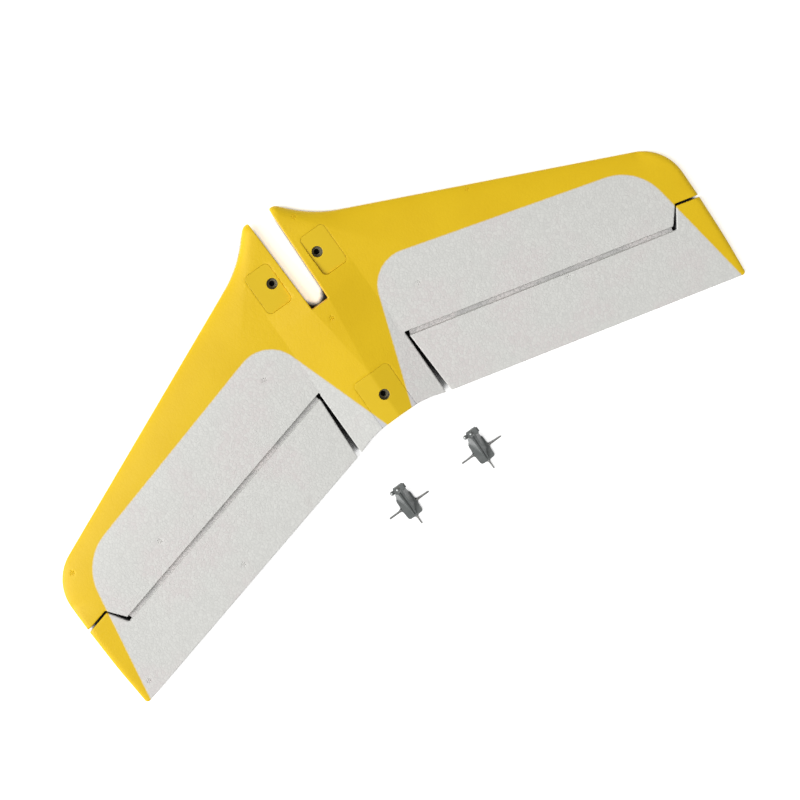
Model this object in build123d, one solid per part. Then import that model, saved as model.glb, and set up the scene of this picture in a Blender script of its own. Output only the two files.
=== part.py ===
from build123d import *
import os
from math import asin, cos, radians, sin, sqrt, tan

# One-piece swept foam tailplane of a model aeroplane, with two horn-balanced elevators on
# foam hinge webs and its two control horns lying loose behind the trailing edge.
#
# Frame, millimetres: X spanwise to the right, Y forwards, Z up. X = 0 is the plane of
# symmetry, Z = 0 is the flat seat under the centre section, and Y = 0 is half way between
# the nose and the ends of the horns' wires. "aft" is a distance behind the nose.

# ---- planform ----
SPAN = 434.0
LEADING_SWEEP = 24.05
LEADING_START = 5.4
TRAILING_SWEEP = 14.1
TRAILING_START = 137.3
TIP_RADIUS = 28.5
TIP_ARC = 62.0
TIP_BOW = 0.8
TIP_WIDEST_AFT = 25.0

# ---- nose and the slot that takes the fin ----
NOSE_SWEEP = 48.0
NOSE_CORNER_X = 10.8
NOSE_RADIUS = 5.0
NOSE_BLEND_RADIUS = 70.0
NOSE_BLOCK_OVERLAP = 12.0
NOSE_BLOCK_AFT = 40.0
SLOT_LENGTH = 60.7
SLOT_MOUTH_HALF = 7.2
SLOT_END_HALF = 5.7
SLOT_FLARE = 0.3

# ---- thickness ----
MID_Z = 5.0
ROOT_X = 29.2
ROOT_HALF_THICKNESS = 4.6
TIP_HALF_THICKNESS = 2.8
TRAILING_HALF_THICKNESS = 0.7
CREST_FRACTION = 0.3
NOSE_POWER = 2.2
TAIL_POWER = 1.35
SECTION_PARTS = (0.0, 0.01, 0.04, 0.1, 0.18, 0.3, 0.45, 0.62, 0.8, 1.0)

# ---- centre section ----
CENTRE_HALF = 30.2
CENTRE_TRAILING = 140.0
SEAT_FRONT = 24.0
SEAT_EDGE_ROUND = 1.5
RIDGE_HEIGHT = 2.6
RIDGE_START = 22.0
RIDGE_JOIN = 105.0
RIDGE_LINE_HALF = 0.5
RIDGE_SLOT_END_HALF = 5.9
RIDGE_LIFT = 0.1
ROOF_FOOT_Z = 3.0

# ---- hinge ----
HINGE_START = 95.7
HINGE_SWEEP = 14.15
GROOVE_BOTTOM_HALF = 1.2
GROOVE_SLOPE = 9.5
WEB_THICKNESS = 1.0
WEB_ANCHOR = 2.0
SLIT_FRONT_X = 31.7
SLIT_REAR_X = 33.5

# ---- balance tabs at the tips ----
NOTCH_X = 194.4
NOTCH_RADIUS = 1.2
BALANCE_X = 202.2
BALANCE_REACH = 12.2
BALANCE_GAP = 1.45
BALANCE_SLIT = 0.8

# ---- mounting plates, bushes and screw holes ----
PLATE_THICKNESS = 1.2
PLATE_GAP = 0.25
FRONT_PLATE_TOP = 9.4
FRONT_PLATE_X = (11.0, 27.5)
FRONT_PLATE_AFT = (23.6, 49.5)
REAR_PLATE_HALF = 12.0
REAR_PLATE_FRONT = 109.5
PLATE_CORNER = 3.0
FRONT_HOLE = (15.7, 35.5)
REAR_HOLE_AFT = 124.4
HEAD_RADIUS = 3.2
SCREW_RADIUS = 1.6
BUSH_RADIUS = 4.2
BUSH_FLOOR = 2.6

# ---- spars ----
SPAR_AFT = 72.0
SPAR_LENGTH = 240.0
SPAR_RADIUS = 2.0
SPAR_BORE = 1.2
STRIP_WIDTH = 0.6
PANEL_STRIP_HEIGHT = 3.0
ELEVATOR_STRIP_HEIGHT = 2.4
PANEL_STRIP_OFFSET = 6.0
ELEVATOR_STRIP_OFFSET = 4.6
STRIP_INNER_X = 36.0
STRIP_OUTER_X = 188.0

# ---- control horns ----
LEFT_HORN = (-25.4, 187.2)
RIGHT_HORN = (27.9, 185.5)
HORN_PLATE = (10.0, 14.6, 1.7)
HORN_CORNER = 1.6
FIN_STATIONS = (
    (-6.3, 0.9, 0.9, 1.0, 0.9, 2.0),
    (0.0, 2.0, 4.4, 1.0, 1.2, 5.7),
    (6.3, 4.2, 4.4, 1.0, 1.4, 9.4),
    (12.5, 3.1, 3.9, 6.8, 1.7, 12.4),
)
FIN_GROOVE = (0.8, 0.7)
EYE = (13.4, 11.1)
HEAD_X = (-2.6, 3.9)
HEAD_SIZE = (4.2, 4.2)
HEAD_ROUND = 1.2
CROSS_ROD = (28.0, 0.55)
TAIL_ROD = (12.4, 0.5)
ROD_Z = 0.85
STUD_RADIUS = 0.8
BALL_RADIUS = 1.4
BALL_OFFSET = 4.1
COLLAR = (1.5, 0.5)
NUT = (1.7, 0.9)
CLAMP_SCREW = (-0.2, 1.4, 0.8)
CLAMP_SHANK = (0.5, 1.1)
HORN_POCKET_X = 46.0
HORN_POCKET_BEHIND_HINGE = 14.8
HORN_POCKET_FLOOR = 4.4
HORN_POCKET_GAP = 0.3

# ---- allowances that only keep neighbouring shapes and cuts clean ----
TALL = 40.0
OVERRUN = 3.0
FAR_AFT = 170.0
CREASE_SINK = 0.15
WEB_INNER_MARGIN = 1.0
WEB_OUTER_MARGIN = 0.3
ROOT_SLIT_LEAD = 2.4
NOSE_RIM_FLAT = 0.9
TINY = 0.01

TIP_X = SPAN / 2
TAIL_ROD_START = CROSS_ROD[1] + 0.4
OVERALL_LENGTH = LEFT_HORN[1] + TAIL_ROD_START + TAIL_ROD[0]


def fore(aft):
    """Y of a place that is the given distance behind the nose."""
    return OVERALL_LENGTH / 2 - aft


def leading(x):
    """Distance of the straight leading edge behind the nose."""
    return LEADING_START + x * tan(radians(LEADING_SWEEP))


def trailing(x):
    """Distance of the straight trailing edge behind the nose."""
    return TRAILING_START + x * tan(radians(TRAILING_SWEEP))


def hinge(x):
    """Distance of the right hinge line behind the nose."""
    return HINGE_START + x * tan(radians(HINGE_SWEEP))


def crest(x):
    """Largest half thickness of the section at a span station."""
    share = (x - ROOT_X) / (TIP_X - ROOT_X)
    return ROOT_HALF_THICKNESS + share * (TIP_HALF_THICKNESS - ROOT_HALF_THICKNESS)


def half_height(x, aft):
    """Half thickness of the outer panel at a span station and a distance behind the nose."""
    part = (aft - leading(x)) / (trailing(x) - leading(x))
    if part < CREST_FRACTION:
        ahead = 1 - max(part, 0.0) / CREST_FRACTION
        return crest(x) * (1 - ahead**NOSE_POWER) ** (1 / NOSE_POWER)
    behind = (part - CREST_FRACTION) / (1 - CREST_FRACTION)
    drop = crest(x) - TRAILING_HALF_THICKNESS
    return crest(x) - drop * min(behind, 1.0) ** TAIL_POWER


def wing_section(x):
    """Closed symmetrical section of the outer panel in the plane X = x."""
    front, chord = leading(x), trailing(x) - leading(x)
    stations = [front + chord * part for part in SECTION_PARTS]
    heights = [half_height(x, aft) for aft in stations]
    upper = [Vector(x, fore(a), MID_Z + h) for a, h in zip(stations, heights)]
    lower = [Vector(x, fore(a), MID_Z - h) for a, h in zip(stations, heights)]
    skin = Spline(*reversed(upper), *lower[1:])
    return Face(Wire([skin, Line(lower[-1], upper[-1])]))


def mirrored(shape):
    """The same shape on the other side of the plane of symmetry."""
    return mirror(shape, Plane.YZ)


def tip_keep():
    """Upright prism over everything inboard of the right tip's rounded outline."""
    reach = TIP_X - TIP_BOW - TIP_RADIUS
    centre_aft = leading(reach) + TIP_RADIUS / cos(radians(LEADING_SWEEP))

    def on_arc(angle):
        turn = radians(angle)
        return (reach + TIP_RADIUS * cos(turn), fore(centre_aft - TIP_RADIUS * sin(turn)))

    begin = on_arc(TIP_ARC)
    run = 60.0
    lead_in = (begin[0] - run * sin(radians(TIP_ARC)), begin[1] + run * cos(radians(TIP_ARC)))
    heel = (TIP_X - 2 * TIP_BOW, fore(trailing(TIP_X) + OVERRUN))
    front_y = fore(-OVERRUN)
    outline = [
        Line(lead_in, begin),
        ThreePointArc(begin, on_arc(TIP_ARC / 2), on_arc(0)),
        ThreePointArc(on_arc(0), (TIP_X, fore(centre_aft + TIP_WIDEST_AFT)), heel),
        Polyline(heel, (0, heel[1]), (0, front_y), (lead_in[0], front_y), lead_in),
    ]
    return Pos(0, 0, -TALL) * extrude(make_face(outline), 2 * TALL)


def right_wing():
    """The right half outside the centre section, with fixed panel and elevator in one."""
    return loft([wing_section(ROOT_X), wing_section(TIP_X + OVERRUN)], ruled=True) & tip_keep()


def hinge_point(x):
    """Place on the right hinge axis at a span station."""
    return Vector(x, fore(hinge(x)), MID_Z)


HINGE_ALONG = Vector(cos(radians(HINGE_SWEEP)), -sin(radians(HINGE_SWEEP)), 0)
HINGE_AHEAD = Vector(sin(radians(HINGE_SWEEP)), cos(radians(HINGE_SWEEP)), 0)


def hinge_bar(profile, start_x, end_x):
    """Bar along the right hinge axis with a profile of (ahead, up) points about the axis."""
    plane = Plane(hinge_point(start_x), x_dir=HINGE_AHEAD, z_dir=HINGE_ALONG)
    face = make_face(Polyline(*profile, close=True))
    length = (end_x - start_x) / cos(radians(HINGE_SWEEP))
    return extrude(plane * face, length, dir=HINGE_ALONG)


def rectangle(half_width, half_height_, offset=0.0):
    """Corner points of an upright rectangle, its middle the given distance ahead of the axis."""
    return [
        (offset - half_width, -half_height_),
        (offset + half_width, -half_height_),
        (offset + half_width, half_height_),
        (offset - half_width, half_height_),
    ]


def groove_profile():
    """Hourglass profile of the two V grooves over and under the hinge web."""
    foot = WEB_THICKNESS / 2
    reach = ROOT_HALF_THICKNESS + OVERRUN
    spread = GROOVE_BOTTOM_HALF + (reach - foot) * tan(radians(GROOVE_SLOPE))
    right = [(spread, -reach), (GROOVE_BOTTOM_HALF, -foot), (GROOVE_BOTTOM_HALF, foot), (spread, reach)]
    return right + [(-ahead, up) for ahead, up in reversed(right)]


def strip_between(start, end, half_width):
    """Upright prism of a given half width along the line between two (x, y) points."""
    along = (Vector(*end) - Vector(*start)).normalized()
    side = Vector(-along.Y, along.X) * half_width
    corners = [Vector(*start) + side, Vector(*end) + side, Vector(*end) - side, Vector(*start) - side]
    outline = Polyline(*[(c.X, c.Y) for c in corners], close=True)
    return Pos(0, 0, -TALL) * extrude(make_face(outline), 2 * TALL)


def elevator_cuts():
    """Every cut that frees the right elevator from the fixed panel."""
    notch = hinge_point(NOTCH_X)
    middle_reach = BALANCE_REACH + BALANCE_GAP / 2
    foot = hinge_point(BALANCE_X - middle_reach * HINGE_AHEAD.X)
    corner = foot + HINGE_AHEAD * middle_reach
    outer = corner + HINGE_ALONG * TALL
    root_front = fore(hinge(SLIT_FRONT_X) - ROOT_SLIT_LEAD)
    root_rear = fore(trailing(SLIT_REAR_X) + OVERRUN)
    root_slit = Polyline(
        (CENTRE_HALF, root_front),
        (SLIT_FRONT_X, root_front),
        (SLIT_REAR_X, root_rear),
        (CENTRE_HALF, root_rear),
        close=True,
    )
    return [
        hinge_bar(groove_profile(), SLIT_FRONT_X - GROOVE_BOTTOM_HALF, NOTCH_X),
        Pos(notch.X, notch.Y, 0) * Cylinder(NOTCH_RADIUS, 2 * TALL),
        strip_between((notch.X, notch.Y), (corner.X, corner.Y), BALANCE_SLIT / 2),
        strip_between((corner.X, corner.Y), (outer.X, outer.Y), BALANCE_GAP / 2),
        Pos(0, 0, -TALL) * extrude(make_face(root_slit), 2 * TALL),
    ]


def hinge_web():
    """Thin foam strip that joins the right elevator to the fixed panel."""
    half_width = GROOVE_BOTTOM_HALF + WEB_ANCHOR
    inner_x = SLIT_FRONT_X + WEB_INNER_MARGIN
    outer_x = NOTCH_X - NOTCH_RADIUS - WEB_OUTER_MARGIN
    return hinge_bar(rectangle(half_width, WEB_THICKNESS / 2), inner_x, outer_x)


def hinge_strip(offset, height):
    """Flat carbon strip on edge, parallel to the right hinge axis."""
    return hinge_bar(rectangle(STRIP_WIDTH / 2, height / 2, offset), STRIP_INNER_X, STRIP_OUTER_X)


def nose_block():
    """Flared nose in front of the right leading edge, its upper and lower rims rounded."""
    run = tan(radians(NOSE_SWEEP))
    lead = tan(radians(LEADING_SWEEP))
    meet_x = (LEADING_START + NOSE_CORNER_X * run) / (run - lead)
    reach_x = ROOT_X + NOSE_BLOCK_OVERLAP
    corners = [
        (0, 0),
        (NOSE_CORNER_X, 0),
        (meet_x, leading(meet_x)),
        (reach_x, leading(reach_x)),
        (reach_x, NOSE_BLOCK_AFT),
        (0, NOSE_BLOCK_AFT),
    ]
    outline = make_face(Polyline(*[(x, fore(aft)) for x, aft in corners], close=True))
    tip = outline.vertices().sort_by_distance((NOSE_CORNER_X, fore(0), 0))[0]
    outline = fillet(tip, NOSE_RADIUS)
    blend = outline.vertices().sort_by_distance((meet_x, fore(leading(meet_x)), 0))[0]
    outline = fillet(blend, NOSE_BLEND_RADIUS)
    half = ROOT_HALF_THICKNESS - CREASE_SINK
    block = Pos(0, 0, MID_Z - half) * extrude(outline, 2 * half)
    rims = [
        edge
        for edge in block.edges()
        if abs(edge.center().Z - MID_Z) > half - TINY
        and TINY < edge.center().X < reach_x - TINY
        and edge.center().Y > fore(NOSE_BLOCK_AFT - 1)
    ]
    return fillet(rims, half - NOSE_RIM_FLAT)


def roof():
    """Low ridged roof over the centre section, with a flat top that narrows to a ridge line."""
    sections = []
    stations = (
        (RIDGE_START, SLOT_MOUTH_HALF, 0.0),
        (SLOT_LENGTH, RIDGE_SLOT_END_HALF, RIDGE_HEIGHT),
        (RIDGE_JOIN, RIDGE_LINE_HALF, RIDGE_HEIGHT),
        (trailing(ROOT_X), RIDGE_LINE_HALF, RIDGE_HEIGHT),
    )
    for aft, half_top, rise in stations:
        crease = MID_Z + half_height(ROOT_X, aft) - CREASE_SINK
        top = crease + rise + RIDGE_LIFT
        points = [
            (-ROOT_X, ROOF_FOOT_Z),
            (ROOT_X, ROOF_FOOT_Z),
            (ROOT_X, crease),
            (half_top, top),
            (-half_top, top),
            (-ROOT_X, crease),
        ]
        sections.append(make_face(Polyline(*[(x, fore(aft), z) for x, z in points], close=True)))
    return loft(sections, ruled=True)


def rounded_pad(x_range, aft_range, inset=0.0):
    """Upright prism over a rounded rectangle, shrunk by an inset."""
    width = x_range[1] - x_range[0] - 2 * inset
    length = aft_range[1] - aft_range[0] - 2 * inset
    face = RectangleRounded(width, length, PLATE_CORNER - inset)
    centre = Pos(sum(x_range) / 2, fore(sum(aft_range) / 2), 0)
    return centre * extrude(face, TALL)


def slot_cut():
    """Tapered slot in the nose, open at the front, that takes the root of the fin."""
    outline = Polyline(
        (-SLOT_MOUTH_HALF - SLOT_FLARE, fore(-OVERRUN)),
        (SLOT_MOUTH_HALF + SLOT_FLARE, fore(-OVERRUN)),
        (SLOT_END_HALF, fore(SLOT_LENGTH)),
        (-SLOT_END_HALF, fore(SLOT_LENGTH)),
        close=True,
    )
    return Pos(0, 0, -TALL) * extrude(make_face(outline), 2 * TALL)


def rear_cut():
    """Everything behind the shallow concave trailing edge of the centre section."""
    half = CENTRE_HALF + 0.1
    edge_y = fore(trailing(CENTRE_HALF))
    outline = [
        ThreePointArc((-half, edge_y), (0, fore(CENTRE_TRAILING)), (half, edge_y)),
        Polyline((half, edge_y), (half, fore(FAR_AFT)), (-half, fore(FAR_AFT)), (-half, edge_y)),
    ]
    return Pos(0, 0, -TALL) * extrude(make_face(outline), 2 * TALL)


def centre_section():
    """Centre section between the outer panels, before its plates and bushes are let in."""
    core = extrude(wing_section(ROOT_X), 2 * ROOT_X, dir=(-1, 0, 0))
    seat_length = trailing(ROOT_X) - SEAT_FRONT
    seat = Pos(0, fore(SEAT_FRONT + seat_length / 2), MID_Z / 2) * Box(2 * ROOT_X, seat_length, MID_Z)
    seat = fillet(seat.edges().filter_by(Axis.X).group_by(Axis.Z)[0].sort_by(Axis.Y)[-1], SEAT_EDGE_ROUND)
    nose = nose_block()
    return core + seat + roof() + nose + mirrored(nose)


def screw_places():
    """Name and (x, aft) of each screw hole."""
    x, aft = FRONT_HOLE
    return {"front_left": (-x, aft), "front_right": (x, aft), "rear": (0.0, REAR_HOLE_AFT)}


def round_bar(place, radius, low, high):
    """Upright cylinder at a (x, aft) place."""
    return Pos(place[0], fore(place[1]), (low + high) / 2) * Cylinder(radius, high - low)


def ball_stud(end_x):
    """Ball and shank of a stud on the X axis, from its ball at the left to its threaded end."""
    neck = sqrt(BALL_RADIUS**2 - STUD_RADIUS**2)
    left_end = (-BALL_OFFSET - BALL_RADIUS, 0)
    profile = [
        ThreePointArc(
            left_end, (-BALL_OFFSET, BALL_RADIUS), (-BALL_OFFSET + neck, STUD_RADIUS)
        ),
        Polyline((-BALL_OFFSET + neck, STUD_RADIUS), (end_x, STUD_RADIUS), (end_x, 0), left_end),
    ]
    return revolve(make_face(profile), Axis.X)


def clamp_screw():
    """Domed screw that pinches the ball stud, with its seat at the origin and its head upwards."""
    _, radius, height = CLAMP_SCREW
    shank_radius, depth = CLAMP_SHANK
    ball = (radius**2 + height**2) / (2 * height)
    half_turn = asin(radius / ball) / 2
    middle = (height - ball + ball * cos(half_turn), ball * sin(half_turn))
    profile = [
        ThreePointArc((height, 0), middle, (0, radius)),
        Polyline((0, radius), (0, shank_radius), (-depth, shank_radius), (-depth, 0), (height, 0)),
    ]
    return Rot(0, -90, 0) * revolve(make_face(profile), Axis.X)


def fin_section(along, foot_left, foot_right, foot_z, top_half, top_z):
    """Upright section of a horn's fin at a distance in front of its cross wire."""
    points = [(-foot_left, foot_z), (foot_right, foot_z), (top_half, top_z), (-top_half, top_z)]
    return make_face(Polyline(*[(x, along, z) for x, z in points], close=True))


def groove_section(along, foot_left, foot_right, foot_z, top_half, top_z):
    """Section of the narrow groove along the top of a horn's fin."""
    half = FIN_GROOVE[0] / 2
    floor_z, open_z = top_z - FIN_GROOVE[1], top_z + OVERRUN
    points = [(-half, floor_z), (half, floor_z), (half, open_z), (-half, open_z)]
    return make_face(Polyline(*[(x, along, z) for x, z in points], close=True))


def horn_parts(place):
    """The six pieces of one loose control horn, lying on its plate at a (x, aft) place."""
    spot = Pos(place[0], fore(place[1]), 0)
    width, length, height = HORN_PLATE
    plate = extrude(RectangleRounded(width, length, HORN_CORNER), height)
    eye_y, eye_z = EYE
    head_left, head_right = HEAD_X
    head_middle = (head_left + head_right) / 2
    fin = loft([fin_section(*station) for station in FIN_STATIONS], ruled=True)
    block = Box(head_right - head_left, *HEAD_SIZE)
    head = Pos(head_middle, eye_y, eye_z) * fillet(block.edges().filter_by(Axis.X), HEAD_ROUND)
    stud = ball_stud(head_right + NUT[1])
    shank = Plane((-BALL_OFFSET, eye_y, eye_z), x_dir=(0, 1, 0), z_dir=(1, 0, 0)) * extrude(
        Circle(STUD_RADIUS), BALL_OFFSET + head_right + NUT[1] + 1
    )
    clamp = Pos(CLAMP_SCREW[0], eye_y, eye_z + HEAD_SIZE[1] / 2) * clamp_screw()
    cross = Plane((-CROSS_ROD[0] / 2, 0, ROD_Z), x_dir=(0, 1, 0), z_dir=(1, 0, 0)) * extrude(
        Circle(CROSS_ROD[1]), CROSS_ROD[0]
    )
    tail = Plane((0, -TAIL_ROD_START, ROD_Z), x_dir=(1, 0, 0), z_dir=(0, -1, 0)) * extrude(
        Circle(TAIL_ROD[1]), TAIL_ROD[0]
    )
    groove = loft([groove_section(*station) for station in FIN_STATIONS], ruled=True)
    body = plate + (fin - groove) + head - shank - clamp - cross - tail
    across = Plane((0, eye_y, eye_z), x_dir=(0, 1, 0), z_dir=(1, 0, 0))
    hexagon = extrude(RegularPolygon(COLLAR[0], 6), COLLAR[1])
    collar = across.offset(head_left - COLLAR[1]) * hexagon
    nut = across.offset(head_right) * extrude(RegularPolygon(NUT[0], 6), NUT[1]) - shank
    return {
        "body": spot * body,
        "cross_rod": spot * cross,
        "tail_rod": spot * tail,
        "ball_stud": spot * (Pos(0, eye_y, eye_z) * stud + collar),
        "nut": spot * nut,
        "clamp_screw": spot * clamp,
    }


def horn_pocket():
    """Recess under the right elevator that takes a horn's plate and wires."""
    width, length, _ = HORN_PLATE
    aft = hinge(HORN_POCKET_X) + HORN_POCKET_BEHIND_HINGE
    gap = HORN_POCKET_GAP
    plate = Box(width + 2 * gap, length + 2 * gap, HORN_POCKET_FLOOR)
    cross = Box(CROSS_ROD[0] + 2 * gap, 2 * (CROSS_ROD[1] + gap), HORN_POCKET_FLOOR)
    tail_width = 2 * (TAIL_ROD[1] + gap)
    tail = Pos(0, -TAIL_ROD[0] / 2, 0) * Box(tail_width, TAIL_ROD[0] + OVERRUN, HORN_POCKET_FLOOR)
    return Pos(HORN_POCKET_X, fore(aft), HORN_POCKET_FLOOR / 2) * (plate + cross + tail)


def build():
    """Every piece of the tailplane, by node name."""
    wing = right_wing()
    for cut in elevator_cuts():
        wing = wing - cut
    pieces = wing.solids().sort_by(Axis.Y)
    elevator, outer_panel = pieces[0], pieces[-1]

    web = hinge_web()
    panel_strip = hinge_strip(PANEL_STRIP_OFFSET, PANEL_STRIP_HEIGHT)
    elevator_strip = hinge_strip(-ELEVATOR_STRIP_OFFSET, ELEVATOR_STRIP_HEIGHT)
    elevator = elevator - web - elevator_strip - horn_pocket()
    outer_panel = outer_panel - web - panel_strip

    centre = centre_section() - slot_cut() - rear_cut()
    below = Pos(0, 0, -PLATE_THICKNESS) * centre
    floor_z = FRONT_PLATE_TOP - PLATE_THICKNESS
    rear_range = (-REAR_PLATE_HALF, REAR_PLATE_HALF)
    rear_aft = (REAR_PLATE_FRONT, FAR_AFT)

    front_pocket = Pos(0, 0, floor_z) * rounded_pad(FRONT_PLATE_X, FRONT_PLATE_AFT)
    front_plate = Pos(0, 0, floor_z) * rounded_pad(FRONT_PLATE_X, FRONT_PLATE_AFT, PLATE_GAP)
    trimmer = Pos(SPAN / 2, 0, FRONT_PLATE_TOP - TALL) * Box(SPAN, SPAN, 2 * TALL)
    front_plate = front_plate & trimmer
    rear_pocket = (centre & rounded_pad(rear_range, rear_aft)) - below
    rear_plate = (centre & rounded_pad(rear_range, rear_aft, PLATE_GAP)) - below

    panel = centre + outer_panel + mirrored(outer_panel)
    panel = panel - front_pocket - mirrored(front_pocket) - rear_pocket
    plates = {"front_left": mirrored(front_plate), "front_right": front_plate, "rear": rear_plate}

    parts = {}
    for name, place in screw_places().items():
        panel = panel - round_bar(place, BUSH_RADIUS, -OVERRUN, TALL)
        if name == "rear":
            blank = round_bar(place, BUSH_RADIUS, 0, TALL) & below
        else:
            blank = round_bar(place, BUSH_RADIUS, 0, floor_z)
        counterbore = round_bar(place, HEAD_RADIUS, BUSH_FLOOR, TALL)
        bore = round_bar(place, SCREW_RADIUS, -OVERRUN, TALL)
        parts[f"{name}_bush"] = blank - counterbore - bore
        parts[f"{name}_plate"] = plates[name] - round_bar(place, HEAD_RADIUS, -OVERRUN, TALL)

    along = Plane((-SPAR_LENGTH / 2, fore(SPAR_AFT), MID_Z), x_dir=(0, 1, 0), z_dir=(1, 0, 0))
    spar = along * extrude(Circle(SPAR_RADIUS), SPAR_LENGTH)
    panel = panel - spar
    parts["fixed_panel"] = panel
    parts["main_spar"] = spar - along * extrude(Circle(SPAR_BORE), SPAR_LENGTH)

    halves = {
        "elevator": elevator,
        "hinge_web": web,
        "panel_strip": panel_strip,
        "elevator_strip": elevator_strip,
    }
    for name, shape in halves.items():
        parts[f"right_{name}"] = shape
        parts[f"left_{name}"] = mirrored(shape)
    for side, place in (("left", LEFT_HORN), ("right", RIGHT_HORN)):
        for name, shape in horn_parts(place).items():
            parts[f"{side}_horn_{name}"] = shape
    return parts


os.makedirs("parts", exist_ok=True)
for node, shape in build().items():
    export_step(shape, f"parts/{node}.step")
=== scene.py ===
"""Foam tailplane of a model aeroplane: the finished look of every piece around the fixed frame.

The foam pieces are height fields over their own outlines. A planform is worked out from a few
driving sizes, covered with rings of points along its rims and a lattice inside them, and lifted
to an upper and a lower surface by formulas. All sizes inside the classes are millimetres in the
row's frame, with "aft" a distance behind the nose; meshes are written in metres.
"""

import logging
import math
from dataclasses import dataclass
from enum import Enum
from typing import Sequence

import bmesh
import bpy
import numpy as np
from mathutils import Matrix, Vector
from mathutils.geometry import delaunay_2d_cdt


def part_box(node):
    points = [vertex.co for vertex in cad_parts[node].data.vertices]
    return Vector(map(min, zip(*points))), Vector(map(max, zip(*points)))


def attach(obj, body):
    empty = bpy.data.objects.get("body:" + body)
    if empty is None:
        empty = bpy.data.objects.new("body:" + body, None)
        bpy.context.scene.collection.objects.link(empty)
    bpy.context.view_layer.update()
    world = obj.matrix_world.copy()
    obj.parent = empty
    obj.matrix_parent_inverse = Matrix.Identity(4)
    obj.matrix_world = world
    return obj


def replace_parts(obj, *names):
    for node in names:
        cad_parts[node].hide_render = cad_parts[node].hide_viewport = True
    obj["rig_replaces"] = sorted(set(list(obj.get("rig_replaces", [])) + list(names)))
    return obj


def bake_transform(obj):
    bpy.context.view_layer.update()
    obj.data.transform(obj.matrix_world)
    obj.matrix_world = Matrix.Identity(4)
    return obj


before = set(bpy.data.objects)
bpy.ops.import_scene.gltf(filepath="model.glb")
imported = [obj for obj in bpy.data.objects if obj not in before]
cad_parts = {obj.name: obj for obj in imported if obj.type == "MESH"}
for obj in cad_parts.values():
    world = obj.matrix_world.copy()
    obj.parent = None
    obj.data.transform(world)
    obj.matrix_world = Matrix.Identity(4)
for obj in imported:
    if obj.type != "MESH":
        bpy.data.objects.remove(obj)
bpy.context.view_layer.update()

log = logging.getLogger("tailplane")
METRE = 1000.0
FAR = 1e6
BLOCK = 4000
SMOOTH_ANGLE = 38.0
Array = np.ndarray


class Rim(Enum):
    """How the edge of a foam piece is finished along a stretch of its outline."""

    LEADING = 0
    TIP = 1
    WALL = 2
    HINGE = 3
    TRAILING = 4


# ---------------------------------------------------------------- arithmetic on arrays


def smooth_step(value: Array, low: float, high: float) -> Array:
    """Rises smoothly from 0 at low to 1 at high, as 3t^2 - 2t^3.

    Args:
        value: Places to evaluate.
        low: Where the rise starts.
        high: Where the rise ends.

    Returns:
        The share reached at each place.
    """
    share = np.clip((value - low) / (high - low), 0.0, 1.0)
    return share * share * (3.0 - 2.0 * share)


def quarter_round(depth: Array, radius: float) -> Array:
    """Height share of a quarter ellipse, sqrt(1 - (1 - d/r)^2), that reaches 1 at its radius."""
    share = np.clip(depth / radius, 0.0, 1.0)
    return np.sqrt(1.0 - (1.0 - share) ** 2)


def soft_minimum(first: Array, second: Array, width: float) -> Array:
    """Smaller of two surfaces, with their meeting line rounded over a width."""
    share = np.clip(0.5 + 0.5 * (second - first) / width, 0.0, 1.0)
    return second + (first - second) * share - width * share * (1.0 - share)


def ripple(x: Array, y: Array, pitch: float, seed: int) -> Array:
    """Gentle unevenness between -1 and 1: the mean of five sine waves in random directions.

    Args:
        x: First coordinate of each place.
        y: Second coordinate of each place.
        pitch: Typical distance between crests.
        seed: Seed that fixes the directions and phases.

    Returns:
        The unevenness at each place.
    """
    rng = np.random.default_rng(seed)
    total = np.zeros_like(x)
    for _ in range(5):
        angle, phase = rng.uniform(0.0, 2.0 * math.pi, 2)
        wave = 2.0 * math.pi / (pitch * rng.uniform(0.7, 1.5))
        total += np.sin(wave * (x * math.cos(angle) + y * math.sin(angle)) + phase)
    return total / 5.0


def segment_distance(places: Array, starts: Array, ends: Array) -> Array:
    """Distance from each place to the nearest of some straight segments.

    Args:
        places: N by 2 places.
        starts: M by 2 segment starts.
        ends: M by 2 segment ends.

    Returns:
        N distances, large where there are no segments.
    """
    nearest = np.full(len(places), FAR)
    if len(starts) == 0:
        return nearest
    run = ends - starts
    length_2 = np.maximum((run**2).sum(1), 1e-12)
    for block in range(0, len(places), BLOCK):
        part = places[block : block + BLOCK, None, :] - starts[None]
        share = np.clip((part * run[None]).sum(2) / length_2, 0.0, 1.0)
        gap = part - share[..., None] * run[None]
        nearest[block : block + BLOCK] = np.sqrt((gap**2).sum(2).min(1))
    return nearest


def inside(places: Array, loop: Array) -> Array:
    """Even-odd test of places against a closed loop of corner points."""
    result = np.zeros(len(places), dtype=bool)
    ahead = np.roll(loop, -1, axis=0)
    rise = ahead[:, 1] - loop[:, 1]
    rise = np.where(np.abs(rise) < 1e-12, 1e-12, rise)
    for block in range(0, len(places), BLOCK):
        x = places[block : block + BLOCK, None, 0]
        y = places[block : block + BLOCK, None, 1]
        spans = (loop[None, :, 1] > y) != (ahead[None, :, 1] > y)
        cross = loop[None, :, 0] + (y - loop[None, :, 1]) / rise[None] * (ahead - loop)[None, :, 0]
        result[block : block + BLOCK] = ((spans & (x < cross)).sum(1) % 2) == 1
    return result


def signed_distance(places: Array, loop: Array) -> Array:
    """Distance to a closed loop, negative inside it."""
    gap = segment_distance(places, loop, np.roll(loop, -1, axis=0))
    return np.where(inside(places, loop), -gap, gap)


# ---------------------------------------------------------------- outlines


@dataclass
class Corner:
    """A corner of an outline and the finish of the stretch that follows it."""

    x: float
    y: float
    radius: float = 0.0
    rim: Rim = Rim.WALL


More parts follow.
